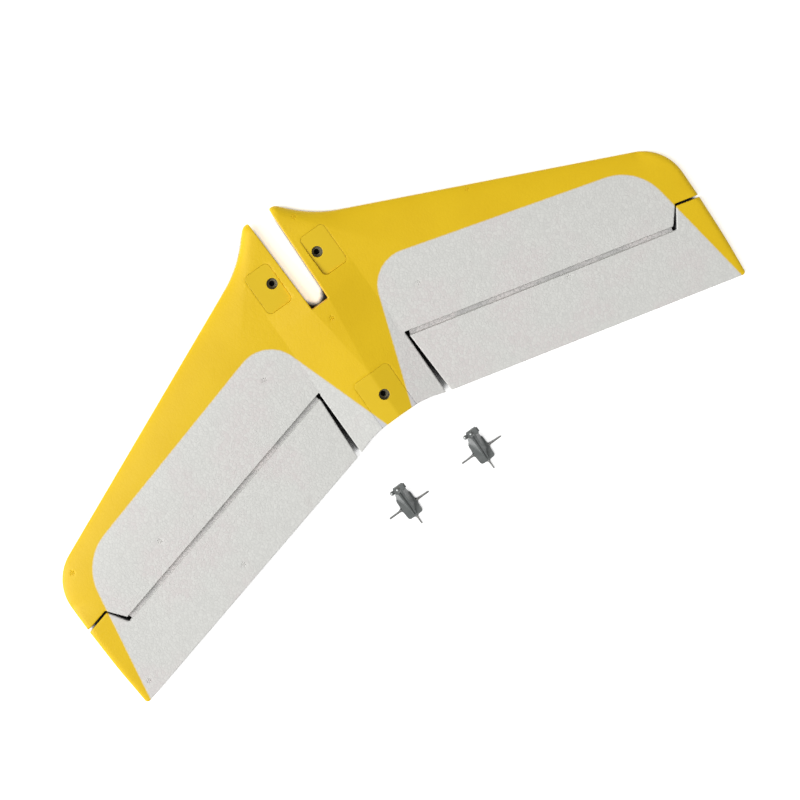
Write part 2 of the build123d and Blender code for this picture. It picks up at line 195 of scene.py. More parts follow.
@dataclass
class Loop:
    """Closed outline as points, with the finish of the stretch after each point."""

    points: Array
    rims: Array

    def segments(self, *kinds: Rim) -> tuple[Array, Array]:
        """Starts and ends of the stretches with the given finishes, or all of them."""
        ends = np.roll(self.points, -1, axis=0)
        if not kinds:
            return self.points, ends
        chosen = np.isin(self.rims, [kind.value for kind in kinds])
        return self.points[chosen], ends[chosen]

    def reversed(self) -> "Loop":
        """The same outline in the other direction."""
        return Loop(self.points[::-1], np.roll(self.rims[::-1], -1))

    def anticlockwise(self) -> "Loop":
        """The outline in the direction in which its enclosed area is positive."""
        x, y = self.points.T
        area = np.sum(x * np.roll(y, -1) - np.roll(x, -1) * y)
        return self.reversed() if area < 0 else self


def straight(start: Array, end: Array, pitch: float) -> Array:
    """Evenly spaced points from a start up to, but not including, an end."""
    count = max(1, int(math.ceil(np.linalg.norm(end - start) / pitch)))
    share = np.arange(count)[:, None] / count
    return start + (end - start) * share


def rounded_loop(corners: Sequence[Corner], pitch: float) -> Loop:
    """Closed outline through corners, each rounded by a circular arc tangent to its two sides.

    Args:
        corners: Corners in order round the outline.
        pitch: Largest distance between points on a straight or an arc.

    Returns:
        The outline as points with the finish of each stretch.
    """
    places = np.array([[corner.x, corner.y] for corner in corners])
    count = len(corners)
    arcs = []
    for index, corner in enumerate(corners):
        here = places[index]
        back = places[index - 1] - here
        ahead = places[(index + 1) % count] - here
        back, ahead = back / np.linalg.norm(back), ahead / np.linalg.norm(ahead)
        opening = math.acos(float(np.clip(back @ ahead, -1.0, 1.0)))
        if corner.radius <= 0.0 or opening > math.pi - 1e-3:
            arcs.append(here[None])
            continue
        run = corner.radius / math.tan(opening / 2)
        bisector = (back + ahead) / np.linalg.norm(back + ahead)
        middle = here + bisector * corner.radius / math.sin(opening / 2)
        first, last = here + back * run - middle, here + ahead * run - middle
        turn = math.pi - opening
        steps = max(3, int(math.ceil(max(turn / math.radians(9.0), turn * corner.radius / pitch))))
        side = np.sign(first[0] * last[1] - first[1] * last[0])
        angle = np.linspace(0.0, turn, steps + 1) * side
        spun = np.stack(
            [
                first[0] * np.cos(angle) - first[1] * np.sin(angle),
                first[0] * np.sin(angle) + first[1] * np.cos(angle),
            ],
            axis=1,
        )
        arcs.append(middle + spun)
    points, rims = [], []
    for index, corner in enumerate(corners):
        arc = arcs[index]
        tail = straight(arc[-1], arcs[(index + 1) % count][0], pitch)
        stretch = np.vstack([arc[:-1], tail])
        points.append(stretch)
        rims.append(np.full(len(stretch), corner.rim.value))
    return Loop(np.vstack(points), np.concatenate(rims))


def circle_loop(x: float, y: float, radius: float, count: int = 40) -> Loop:
    """Round hole as a closed outline."""
    angle = np.arange(count) * (2.0 * math.pi / count)
    points = np.stack([x + radius * np.cos(angle), y + radius * np.sin(angle)], axis=1)
    return Loop(points, np.full(count, Rim.WALL.value))


def offset_points(loop: Array, distance: float) -> Array:
    """Points of a closed loop moved along their own normals by a distance."""
    along = np.roll(loop, -1, axis=0) - np.roll(loop, 1, axis=0)
    along /= np.maximum(np.linalg.norm(along, axis=1, keepdims=True), 1e-9)
    return loop + np.stack([along[:, 1], -along[:, 0]], axis=1) * distance


# ---------------------------------------------------------------- the tailplane's planform


@dataclass
class Planform:
    """Plan shape and thickness of the tailplane, the same on both sides of its middle."""

    nose_y: float
    tip_x: float
    mid_z: float
    seat_z: float
    leading_start: float = 5.4
    leading_slope: float = math.tan(math.radians(24.05))
    trailing_start: float = 137.3
    trailing_slope: float = math.tan(math.radians(14.1))
    hinge_start: float = 95.7
    hinge_sweep: float = math.radians(14.15)
    tip_radius: float = 28.5
    tip_bow: float = 0.8
    nose_corner: float = 10.8
    nose_slope: float = math.tan(math.radians(48.0))
    nose_radius: float = 5.0
    blend_radius: float = 70.0
    slot_length: float = 60.7
    slot_mouth: float = 7.22
    slot_end: float = 5.7
    centre_half: float = 30.2
    centre_aft: float = 140.0
    root_x: float = 29.2
    root_height: float = 4.6
    tip_height: float = 2.8
    edge_height: float = 0.7
    crest_share: float = 0.3
    ridge_height: float = 2.6
    groove_foot: float = 1.2
    groove_slope: float = math.tan(math.radians(9.5))
    web_half: float = 0.5
    slit_front: float = 31.7
    slit_rear: float = 33.5
    notch_x: float = 194.4
    notch_radius: float = 1.2
    balance_x: float = 202.2
    balance_reach: float = 12.2
    balance_gap: float = 1.45
    balance_slit: float = 0.8
    bow_middle: float = 44.0
    bow_reach: float = 46.0
    heel_share: float = 2.2
    fall_power: float = 1.35
    nose_power: float = 2.2
    nose_depth_root: float = 9.0
    nose_depth_share: float = 0.91
    nose_depth_span: tuple[float, float] = (14.0, 58.0)
    tip_round: float = 2.6
    groove_blend: float = 0.45
    roof_start: float = 22.0
    roof_end_aft: tuple[float, float] = (105.0, 150.0)
    roof_flat: tuple[float, ...] = (7.2, 5.9, 0.5, 0.5)
    slot_radii: tuple[float, float] = (0.9, 1.1)
    side_start: float = 22.0
    side_radius: float = 200.0
    edge_radius: float = 0.5
    corner_radius: float = 0.4
    notch_round: float = 0.8
    notch_relief: tuple[float, float] = (0.6, 0.4)
    root_clearance: float = 0.3
    elevator_notch_relief: tuple[float, float] = (0.9, 0.2)
    elevator_side: tuple[float, float] = (26.0, 400.0)
    elevator_radii: tuple[float, float, float] = (0.6, 0.7, 2.0)
    centre_bow: tuple[float, ...] = (22.0, 14.0, 7.0)
    centre_bow_power: float = 1.4
    patch: tuple[tuple[float, float, float], ...] = (
        (7.0, 145.0, 0.0),
        (36.7, 57.3, 20.4),
        (195.2, 101.9, 32.0),
        (212.0, 188.6, 0.0),
        (213.6, 197.0, 0.0),
        (120.0, 197.0, 0.0),
    )

    def y(self, aft: float) -> float:
        """Row coordinate of a distance behind the nose."""
        return self.nose_y - aft

    def leading(self, x: Array) -> Array:
        """Distance of the straight leading edge behind the nose."""
        return self.leading_start + x * self.leading_slope

    def trailing(self, x: Array) -> Array:
        """Distance of the straight trailing edge behind the nose."""
        return self.trailing_start + x * self.trailing_slope

    def hinge(self, x: Array) -> Array:
        """Distance of the hinge axis behind the nose."""
        return self.hinge_start + x * math.tan(self.hinge_sweep)

    def hinge_place(self, x: float, ahead: float) -> tuple[float, float]:
        """Place beside the hinge axis, a perpendicular distance ahead of it.

        Args:
            x: Span station on the axis.
            ahead: Distance in front of the axis, negative behind it.

        Returns:
            The place's x and y.
        """
        sweep = self.hinge_sweep
        return x + ahead * math.sin(sweep), self.y(self.hinge(x)) + ahead * math.cos(sweep)

    def tip_corners(self) -> tuple[float, float, float]:
        """Span of the tip's front corner, of its widest place and of its heel."""
        return self.tip_x - self.tip_bow, self.tip_x, self.tip_x - self.heel_share * self.tip_bow

    def tip_side(self, y: float) -> float:
        """Span of the bowed tip edge at a row coordinate, by a parabola through its corners."""
        front, widest, heel = self.tip_corners()
        middle = self.y(self.leading(self.tip_x) + self.bow_middle)
        drop = widest - (front if y > middle else heel)
        return widest - drop * ((y - middle) / self.bow_reach) ** 2

    def plateau(self, x: Array, y: Array) -> Array:
        """Half thickness before the leading edge and tip are rounded off."""
        span = np.maximum(np.abs(x), self.root_x)
        aft = self.nose_y - y
        share = (span - self.root_x) / (self.tip_x - self.root_x)
        crest = self.root_height + share * (self.tip_height - self.root_height)
        part = (aft - self.leading(span)) / (self.trailing(span) - self.leading(span))
        behind = np.clip((part - self.crest_share) / (1.0 - self.crest_share), 0.0, 1.0)
        return crest - (crest - self.edge_height) * behind**self.fall_power

    def nose_depth(self, x: Array) -> Array:
        """Distance over which the leading edge rounds up to full thickness."""
        span = np.abs(x)
        chord = self.trailing(span) - self.leading(span)
        root = self.nose_depth_root
        outer = self.crest_share * chord * self.nose_depth_share
        return root + (outer - root) * smooth_step(span, *self.nose_depth_span)

    def half_height(self, x: Array, y: Array, from_leading: Array, from_tip: Array) -> Array:
        """Half thickness with rounded leading edge and tip.

        The leading edge is a superellipse in the distance from it, and the tip is a
        quarter ellipse.

        Args:
            x: Span of each place.
            y: Row coordinate of each place.
            from_leading: Distance of each place from the leading rim.
            from_tip: Distance of each place from the tip rim.

        Returns:
            Half thickness at each place.
        """
        ahead = 1.0 - np.clip(from_leading / self.nose_depth(x), 0.0, 1.0)
        nose = (1.0 - ahead**self.nose_power) ** (1.0 / self.nose_power)
        return self.plateau(x, y) * nose * quarter_round(from_tip, self.tip_round)

    def roof(self, x: Array, y: Array) -> Array:
        """Rise of the centre section's ridged roof over the flat section."""
        aft = self.nose_y - y
        start = self.roof_start
        rise = self.ridge_height * np.clip((aft - start) / (self.slot_length - start), 0.0, 1.0)
        flat = np.interp(aft, [start, self.slot_length, *self.roof_end_aft], self.roof_flat)
        slope = (self.root_x - np.abs(x)) / (self.root_x - flat)
        return rise * np.clip(slope, 0.0, 1.0)

    def balance_corner(self, ahead: float, beside: float) -> tuple[float, float]:
        """Corner of the tip balance cut, at a reach ahead of the axis and beside its slit.

        Args:
            ahead: Perpendicular distance in front of the hinge axis.
            beside: Distance outboard of the middle of the slit, negative inboard.

        Returns:
            The corner's x and y.
        """
        notch = np.array(self.hinge_place(self.notch_x, 0.0))
        reach = self.balance_reach + self.balance_gap / 2
        foot = self.balance_x - reach * math.sin(self.hinge_sweep)
        top = np.array(self.hinge_place(foot, reach))
        along = (top - notch) / np.linalg.norm(top - notch)
        across = np.array([along[1], -along[0]])
        forward = np.array([math.sin(self.hinge_sweep), math.cos(self.hinge_sweep)])
        run = (ahead - beside * float(across @ forward)) / float(along @ forward)
        place = notch + along * run + across * beside
        return float(place[0]), float(place[1])

    def fixed_outline(self, pitch: float) -> Loop:
        """Outline of the fixed panel, starting in the middle of the slot's closed end."""
        closing = self.nose_slope - self.leading_slope
        meet = (self.leading_start + self.nose_corner * self.nose_slope) / closing
        front, _, _ = self.tip_corners()
        tip_front = self.y(self.leading(front))
        gap_front = self.balance_reach + self.balance_gap
        notch_x, notch_y = self.hinge_place(self.notch_x, self.groove_foot)
        cut_x, cut_y = self.balance_corner(gap_front, -self.balance_slit / 2)
        side_y = self.y(self.leading(self.tip_x) + self.side_start)
        edge_y = cut_y - (self.tip_x - cut_x) * math.tan(self.hinge_sweep)
        inner_x, inner_y = self.hinge_place(self.centre_half - self.root_clearance, self.groove_foot)
        inset_x, inset_y = self.notch_relief
        right = [
            Corner(self.slot_end, self.y(self.slot_length), self.slot_radii[0], Rim.WALL),
            Corner(self.slot_mouth, self.y(0.0), self.slot_radii[1], Rim.LEADING),
            Corner(self.nose_corner, self.y(0.0), self.nose_radius, Rim.LEADING),
            Corner(meet, self.y(self.leading(meet)), self.blend_radius, Rim.LEADING),
            Corner(front, tip_front, self.tip_radius, Rim.TIP),
            Corner(self.tip_side(side_y), side_y, self.side_radius, Rim.TIP),
            Corner(self.tip_side(edge_y), edge_y, self.edge_radius, Rim.WALL),
            Corner(cut_x, cut_y, self.edge_radius, Rim.WALL),
            Corner(notch_x - inset_x, notch_y + inset_y, self.notch_round, Rim.HINGE),
            Corner(inner_x, inner_y, self.corner_radius, Rim.WALL),
            Corner(self.centre_half, self.y(self.trailing(self.centre_half)), self.corner_radius, Rim.WALL),
        ]
        bow = []
        for x in self.centre_bow:
            share = (x / self.centre_half) ** self.centre_bow_power
            aft = self.centre_aft + (self.trailing(x) - self.centre_aft) * share
            bow.append(Corner(x, self.y(aft), 0.0, Rim.WALL))
        chain = right + bow
        middle = Corner(0.0, self.y(self.centre_aft), 0.0, Rim.WALL)
        mirrored = chain[::-1]
        left = [
            Corner(-corner.x, corner.y, corner.radius, before.rim)
            for corner, before in zip(mirrored, mirrored[1:] + [middle])
        ]
        return rounded_loop(chain + [middle] + left, pitch)

    def elevator_outline(self, side: int, pitch: float) -> Loop:
        """Outline of one elevator.

        Args:
            side: 1 for the right elevator, -1 for the left.
            pitch: Largest distance between points.

        Returns:
            The outline.
        """
        _, front_y = self.hinge_place(self.slit_front + self.root_clearance, -self.groove_foot)
        notch_x, notch_y = self.hinge_place(self.notch_x, -self.groove_foot)
        cut_x, cut_y = self.balance_corner(self.balance_reach, self.balance_slit / 2)
        edge_y = cut_y - (self.tip_x - cut_x) * math.tan(self.hinge_sweep)
        _, _, heel = self.tip_corners()
        side_aft, side_radius = self.elevator_side
        mid_y = self.y(self.trailing(self.tip_x) - side_aft)
        inset_x, inset_y = self.elevator_notch_relief
        cut_radius, tip_radius, heel_radius = self.elevator_radii
        corners = [
            Corner(self.slit_front, front_y, self.edge_radius, Rim.HINGE),
            Corner(notch_x + inset_x, notch_y + inset_y, self.notch_round, Rim.WALL),
            Corner(cut_x, cut_y, cut_radius, Rim.WALL),
            Corner(self.tip_side(edge_y), edge_y, tip_radius, Rim.TIP),
            Corner(self.tip_side(mid_y), mid_y, side_radius, Rim.TIP),
            Corner(heel, self.y(self.trailing(heel)), heel_radius, Rim.TRAILING),
            Corner(self.slit_rear, self.y(self.trailing(self.slit_rear)), self.edge_radius, Rim.WALL),
        ]
        loop = rounded_loop(corners, pitch)
        if side > 0:
            return loop
        return Loop(loop.points * np.array([-1.0, 1.0]), loop.rims).reversed()

    def white_patch(self, side: int) -> Array:
        """Closed outline of the bare white foam on one side, running out over the trailing edge."""
        corners = [Corner(x, self.y(aft), radius) for x, aft, radius in self.patch]
        return rounded_loop(corners, 2.0).points * np.array([float(side), 1.0])


# ---------------------------------------------------------------- meshes from outlines


@dataclass
class Triangulation:
    """Triangles over a planform: N by 2 points and M by 3 corner numbers, counter-clockwise."""

    points: Array
    triangles: Array

    def rim(self) -> Array:
        """Edges used by one triangle only, running counter-clockwise round the material."""
        edges = np.vstack([self.triangles[:, pair] for pair in ([0, 1], [1, 2], [2, 0])])
        count = len(self.points)
        keys = edges.min(1).astype(np.int64) * count + edges.max(1)
        _, first, used = np.unique(keys, return_index=True, return_counts=True)
        return edges[first[used == 1]]


@dataclass
class PlanformMesher:
    """Covers a planform with points: rings along its rims, rows along its creases, a lattice inside."""

    pitch: float = 1.6
    rings: tuple[float, ...] = (0.06, 0.2, 0.45, 0.9, 1.6)
    step_rows: tuple[float, ...] = (0.03, -0.03, 0.3, -0.3)
    crease_pitch: float = 0.9
    crease_gap: float = 0.35
    dot_pitch: float = 0.22
    nudge: float = 0.04
    seed: int = 7

    def lattice(self, low: Array, high: Array, pitch: float) -> Array:
        """Hexagonal lattice over a box, each point nudged a little so that no four lie on a circle."""
        rise = pitch * math.sqrt(3.0) / 2.0
        x = np.arange(low[0], high[0], pitch)
        y = np.arange(low[1], high[1], rise)
        grid_x, grid_y = np.meshgrid(x, y)
        grid_x = grid_x + (np.arange(len(y)) % 2)[:, None] * (pitch / 2)
        points = np.stack([grid_x.ravel(), grid_y.ravel()], axis=1)
        nudge = np.random.default_rng(self.seed).uniform(-self.nudge, self.nudge, points.shape)
        return points + nudge * pitch

    def material(self, places: Array, outer: Loop, holes: Sequence[Loop]) -> Array:
        """True for each place inside the outline and outside every hole."""
        keep = inside(places, outer.points)
        for hole in holes:
            keep &= ~inside(places, hole.points)
        return keep

    def cover(
        self,
        outer: Loop,
        holes: Sequence[Loop] = (),
        steps: Sequence[Array] = (),
        creases: Sequence[tuple[Array, Array]] = (),
        dots: Sequence[tuple[float, float, float]] = (),
    ) -> Triangulation:
        """Triangulates a planform.

        Args:
            outer: Outline of the piece.
            holes: Outlines of the openings through it.
            steps: Closed outlines at which the surface steps up or down.
            creases: Start and end of each straight fold in the surface.
            dots: Middle x, middle y and radius of each place that needs fine detail.

        Returns:
            The triangles, with every outline kept as edges.
        """
        contours = [outer, *holes]
        starts = np.vstack([loop.points for loop in contours])
        ends = np.vstack([np.roll(loop.points, -1, axis=0) for loop in contours])
        free = []
        for loop in contours:
            for gap in self.rings:
                ring = np.vstack([offset_points(loop.points, gap), offset_points(loop.points, -gap)])
                free.append(ring[segment_distance(ring, starts, ends) > 0.97 * gap])
        rows = []
        for loop in steps:
            rows += [offset_points(loop, gap) for gap in self.step_rows]
        for start, end in creases:
            line = straight(start, end, self.crease_pitch)
            along = (end - start) / np.linalg.norm(end - start)
            side = np.array([along[1], -along[0]])
            rows += [line, line + self.crease_gap * side, line - self.crease_gap * side]
        low, high = outer.points.min(0), outer.points.max(0)
        lattice = self.lattice(low, high, self.pitch)
        if rows:
            row_points = np.vstack(rows)
            row_points = row_points[segment_distance(row_points, starts, ends) > 0.12]
            free.append(row_points)
            cells = {tuple(cell) for cell in np.floor(row_points / self.pitch * 1.4).astype(int)}
            keys = np.floor(lattice / self.pitch * 1.4).astype(int)
            lattice = lattice[[tuple(key) not in cells for key in keys]]
        for x, y, radius in dots:
            centre = np.array([x, y])
            lattice = lattice[np.linalg.norm(lattice - centre, axis=1) > radius]
            fine = self.lattice(centre - radius, centre + radius, self.dot_pitch)
            free.append(fine[np.linalg.norm(fine - centre, axis=1) < radius - 0.1])
        clear = segment_distance(lattice, starts, ends) > self.rings[-1] + 0.45 * self.pitch
        free.append(lattice[clear])
        loose = np.vstack(free)
        points = np.vstack([starts, loose[self.material(loose, outer, holes)]])
        edges, base = [], 0
        for loop in contours:
            count = len(loop.points)
            edges += [(base + i, base + (i + 1) % count) for i in range(count)]
            base += count
        found = delaunay_2d_cdt([Vector(p) for p in points.tolist()], edges, [], 0, 1e-5)
        places = np.array([place[:] for place in found[0]])
        faces = np.array(found[2])
        faces = faces[self.material(places[faces].mean(1), outer, holes)]
        a, b, c = (places[faces[:, i]] for i in range(3))
        turn = (b[:, 0] - a[:, 0]) * (c[:, 1] - a[:, 1]) - (b[:, 1] - a[:, 1]) * (c[:, 0] - a[:, 0])
        faces = faces[np.abs(turn) > 1e-9]
        turn = turn[np.abs(turn) > 1e-9]
        faces[turn < 0] = faces[turn < 0][:, ::-1]
        return Triangulation(places, faces)


def new_object(
    name: str, places: Array, faces: Sequence, smooth_angle: float = SMOOTH_ANGLE
) -> bpy.types.Object:
    """Object at the origin with its place in its mesh, smooth shaded except across sharp edges.

    Args:
        name: Name of the piece.
        places: N by 3 places in millimetres.
        faces: Corner numbers of each face.
        smooth_angle: Edges sharper than this many degrees stay crisp.

    Returns:
        The new object, linked to the scene.
    """
    mesh = bpy.data.meshes.new(name)
    listed = faces.tolist() if isinstance(faces, np.ndarray) else faces
    mesh.from_pydata((places / METRE).tolist(), [], listed)
    mesh.validate()
    mesh.polygons.foreach_set("use_smooth", np.ones(len(mesh.polygons), dtype=bool))
    mesh.set_sharp_from_angle(angle=math.radians(smooth_angle))
    mesh.update()
    piece = bpy.data.objects.new(name, mesh)
    bpy.context.scene.collection.objects.link(piece)
    return piece


def shell(name: str, flat: Triangulation, top: Array, bottom: Array) -> bpy.types.Object:
    """Closed shell between an upper and a lower height over the same triangles.

    Where both heights agree the two sheets share a point; elsewhere a wall joins them.

    Args:
        name: Name of the piece.
        flat: Triangles over the planform.
        top: Upper height at each point.
        bottom: Lower height at each point.

    Returns:
        The new object.
    """
    count = len(flat.points)
    shared = top - bottom < 1e-4
    lower = np.where(shared, np.arange(count), np.cumsum(~shared) - 1 + count)
    places = np.vstack(
        [
            np.column_stack([flat.points, np.where(shared, (top + bottom) / 2, top)]),
            np.column_stack([flat.points, bottom])[~shared],
        ]
    )
    under = lower[flat.triangles][:, ::-1]
    start, end = flat.rim().T
    first = np.stack([end, start, lower[start]], axis=1)
    second = np.stack([end, lower[start], lower[end]], axis=1)
    walls = np.vstack([first[~shared[start]], second[~shared[end]]])
    return new_object(name, places, np.vstack([flat.triangles, under, walls]))


def grid_faces(rows: int, columns: int, closed: bool) -> Array:
    """Faces of a grid of points whose last column is next to its first.

    Args:
        rows: Rows of points.
        columns: Points in each row.
        closed: True where the last row is next to the first as well.

    Returns:
        Four corner numbers for each face.
    """
    row = np.arange(rows if closed else rows - 1)[:, None]
    column = np.arange(columns)[None]
    after_row, after = (row + 1) % rows, (column + 1) % columns
    pairs = ((row, column), (row, after), (after_row, after), (after_row, column))
    shape = (len(row), columns)
    corners = [np.broadcast_to(down * columns + along, shape) for down, along in pairs]
    return np.stack(corners, axis=-1).reshape(-1, 4)


def spun(
    name: str, profile: Array, place: Sequence[float], axis: str = "Z", count: int = 48, closed: bool = True
) -> bpy.types.Object:
    """Solid of revolution: a profile of (radius, height) points carried round an axis.

    Args:
        name: Name of the piece.
        profile: Points in order, anticlockwise when radius runs right and height up.
        place: Where the axis' zero height is.
        axis: "X", "Y" or "Z".
        count: Steps round the axis.
        closed: True for a ring whose profile closes on itself, False for one that ends on the axis.

    Returns:
        The new object.
    """
    angle = np.arange(count) * (2.0 * math.pi / count)
    radius, height = profile[:, 0][:, None], profile[:, 1][:, None]
    ring = [radius * np.cos(angle), radius * np.sin(angle), np.repeat(height, count, axis=1)]
    order = {"X": (2, 0, 1), "Y": (1, 2, 0), "Z": (0, 1, 2)}[axis]
    places = np.stack([ring[i] for i in order], axis=-1) + np.array(place)
    piece = new_object(name, places.reshape(-1, 3), grid_faces(len(profile), count, closed))
    mend(piece)
    return piece


def mend(piece: bpy.types.Object, smooth_angle: float = SMOOTH_ANGLE) -> None:
    """Merges doubled points, such as those at a pole, and turns every face outwards."""
    grid = bmesh.new()
    grid.from_mesh(piece.data)
    bmesh.ops.remove_doubles(grid, verts=grid.verts, dist=1e-6)
    bmesh.ops.dissolve_degenerate(grid, edges=grid.edges, dist=1e-7)
    bmesh.ops.recalc_face_normals(grid, faces=grid.faces)
    grid.to_mesh(piece.data)
    grid.free()
    piece.data.set_sharp_from_angle(angle=math.radians(smooth_angle))


def rounded_profile(corners: Sequence[tuple[float, float, float]]) -> Array:
    """Closed profile of (radius, height) points with each corner rounded by its own radius."""
    return rounded_loop([Corner(r, z, fillet) for r, z, fillet in corners], 50.0).points


# ---------------------------------------------------------------- finishes


class Wiring:
    """Adds nodes to a node tree and joins their sockets."""

    def __init__(self, tree: bpy.types.NodeTree) -> None:
        """Keeps the tree that is wired."""
        self.tree = tree

    def node(self, kind: str, inputs: dict | None = None, **settings: object) -> bpy.types.Node:
        """Adds a node.

        Args:
            kind: Node type without its ShaderNode prefix.
            inputs: Socket name or number to a value, or to a socket that feeds it.
            settings: Properties of the node itself.

        Returns:
            The new node.
        """
        made = self.tree.nodes.new("ShaderNode" + kind)
        for key, value in settings.items():
            setattr(made, key, value)
        for key, value in (inputs or {}).items():
            if isinstance(value, bpy.types.NodeSocket):
                self.tree.links.new(value, made.inputs[key])
            else:
                made.inputs[key].default_value = value
        return made

    def math(self, operation: str, first: object, second: object = 0.0) -> bpy.types.NodeSocket:
        """Result of a Math node on two values or sockets."""
        return self.node("Math", {0: first, 1: second}, operation=operation).outputs[0]

    def ramp(self, value: bpy.types.NodeSocket, low: float, high: float) -> bpy.types.NodeSocket:
        """Value carried smoothly from 0 at low to 1 at high."""
        inputs = {0: value, 1: low, 2: high, 3: 0.0, 4: 1.0}
        return self.node("MapRange", inputs, interpolation_type="SMOOTHSTEP").outputs[0]

    def share(self, value: object, part: float) -> bpy.types.NodeSocket:
        """A part of a value."""
        return self.math("MULTIPLY", value, part)

    def blend(self, share: object, first: object, second: object) -> bpy.types.NodeSocket:
        """Colour between two colours or sockets by a share."""
        made = self.node("Mix", data_type="RGBA")
        for socket, value in ((made.inputs[0], share), (made.inputs[6], first), (made.inputs[7], second)):
            if isinstance(value, bpy.types.NodeSocket):
                self.tree.links.new(value, socket)
            else:
                socket.default_value = value
        return made.outputs[2]


def new_group(
    name: str, inputs: dict[str, float], outputs: Sequence[str]
) -> tuple[bpy.types.NodeTree, Wiring]:
    """Empty shader group with named float inputs and outputs.

    Args:
        name: Name of the group.
        inputs: Input names with their usual values.
        outputs: Output names.

    Returns:
        The group and its wiring.
    """
    group = bpy.data.node_groups.new(name, "ShaderNodeTree")
    for key, value in inputs.items():
        socket = group.interface.new_socket(name=key, in_out="INPUT", socket_type="NodeSocketFloat")
        socket.default_value = value
    for key in outputs:
        group.interface.new_socket(name=key, in_out="OUTPUT", socket_type="NodeSocketFloat")
    return group, Wiring(group)


def bead_group() -> bpy.types.NodeTree:
    """Moulded bead foam: polygonal cells with sunken seams.

    Inputs are cells per metre and seam width as a share of a cell. Outputs are Pillow, 1 over a
    bead and 0 in a seam, Tone, a random value per bead, and Height.
    """
    inputs = {"Cells per metre": 270.0, "Seam width": 0.1, "Unevenness": 0.35}
    group, wire = new_group("BeadFoam", inputs, ("Pillow", "Tone", "Height"))
    given = wire.tree.nodes.new("NodeGroupInput")
    result = wire.tree.nodes.new("NodeGroupOutput")
    place = wire.node("TexCoord").outputs["Object"]
    drift = wire.node("TexNoise", {"Vector": place, "Scale": 160.0, "Detail": 1.0}).outputs["Color"]
    shift = wire.node("VectorMath", {0: drift, 1: (0.5, 0.5, 0.5)}, operation="SUBTRACT").outputs[0]
    scaled = wire.node("VectorMath", {0: shift, "Scale": 0.0022}, operation="SCALE").outputs[0]
    moved = wire.node("VectorMath", {0: place, 1: scaled}, operation="ADD").outputs[0]
    edge = wire.node("TexVoronoi", {"Vector": moved, "Scale": given.outputs[0]}, feature="DISTANCE_TO_EDGE")
    cell = wire.node("TexVoronoi", {"Vector": moved, "Scale": given.outputs[0]}, feature="F1")
    bounds = {0: edge.outputs["Distance"], 1: 0.0, 2: given.outputs[1]}
    pillow = wire.node("MapRange", bounds, interpolation_type="SMOOTHERSTEP")
    tone = wire.node("SeparateColor", {0: cell.outputs["Color"]}).outputs[0]
    dome = wire.math("SUBTRACT", 1.0, wire.math("MULTIPLY", cell.outputs["Distance"], 0.8))
    fine = wire.node("TexNoise", {"Vector": place, "Scale": 1400.0, "Detail": 3.0}).outputs[0]
    rough = wire.math("MULTIPLY", fine, given.outputs[2])
    step = wire.math("MULTIPLY", tone, 0.45)
    height = wire.math("ADD", wire.math("ADD", wire.math("MULTIPLY", pillow.outputs[0], dome), rough), step)
    for socket, value in zip(result.inputs, (pillow.outputs[0], tone, height)):
        wire.tree.links.new(value, socket)
    return group


def grain_group() -> bpy.types.NodeTree:
    """Fine moulded or sprayed grain: Speckle, a fine even noise, and Cloud, a slow uneven one."""
    inputs = {"Grains per metre": 2500.0, "Clouds per metre": 30.0}
    group, wire = new_group("FineGrain", inputs, ("Speckle", "Cloud"))
    given = wire.tree.nodes.new("NodeGroupInput")
    result = wire.tree.nodes.new("NodeGroupOutput")
    place = wire.node("TexCoord").outputs["Object"]
    speckle = wire.node("TexNoise", {"Vector": place, "Scale": given.outputs[0], "Detail": 2.0}).outputs[0]
    cloud = wire.node("TexNoise", {"Vector": place, "Scale": given.outputs[1], "Detail": 4.0}).outputs[0]
    for socket, value in zip(result.inputs, (speckle, cloud)):
        wire.tree.links.new(value, socket)
    return group


def handling_group() -> bpy.types.NodeTree:
    """Marks of handling: Scuff, sparse thin scratches, and Dust, soft patches of dirt."""
    group, wire = new_group("Handling", {"Amount": 0.5}, ("Scuff", "Dust"))
    given = wire.tree.nodes.new("NodeGroupInput")
    result = wire.tree.nodes.new("NodeGroupOutput")
    place = wire.node("TexCoord").outputs["Object"]
    skew = {"Vector": place, "Rotation": (0.3, 0.1, 0.6), "Scale": (60.0, 900.0, 300.0)}
    stretched = wire.node("Mapping", skew)
    lines = wire.node("TexNoise", {"Vector": stretched.outputs[0], "Scale": 1.0, "Detail": 2.0}).outputs[0]
    patch = wire.node("TexNoise", {"Vector": place, "Scale": 45.0, "Detail": 3.0}).outputs[0]
    scuff = wire.math("MULTIPLY", wire.ramp(lines, 0.66, 0.74), wire.ramp(patch, 0.5, 0.62))
    smudge = wire.node("TexNoise", {"Vector": place, "Scale": 120.0, "Detail": 6.0}).outputs[0]
    dust = wire.ramp(smudge, 0.56, 0.8)
    for socket, value in zip(result.inputs, (scuff, dust)):
        wire.tree.links.new(wire.math("MULTIPLY", value, given.outputs[0]), socket)
    return group


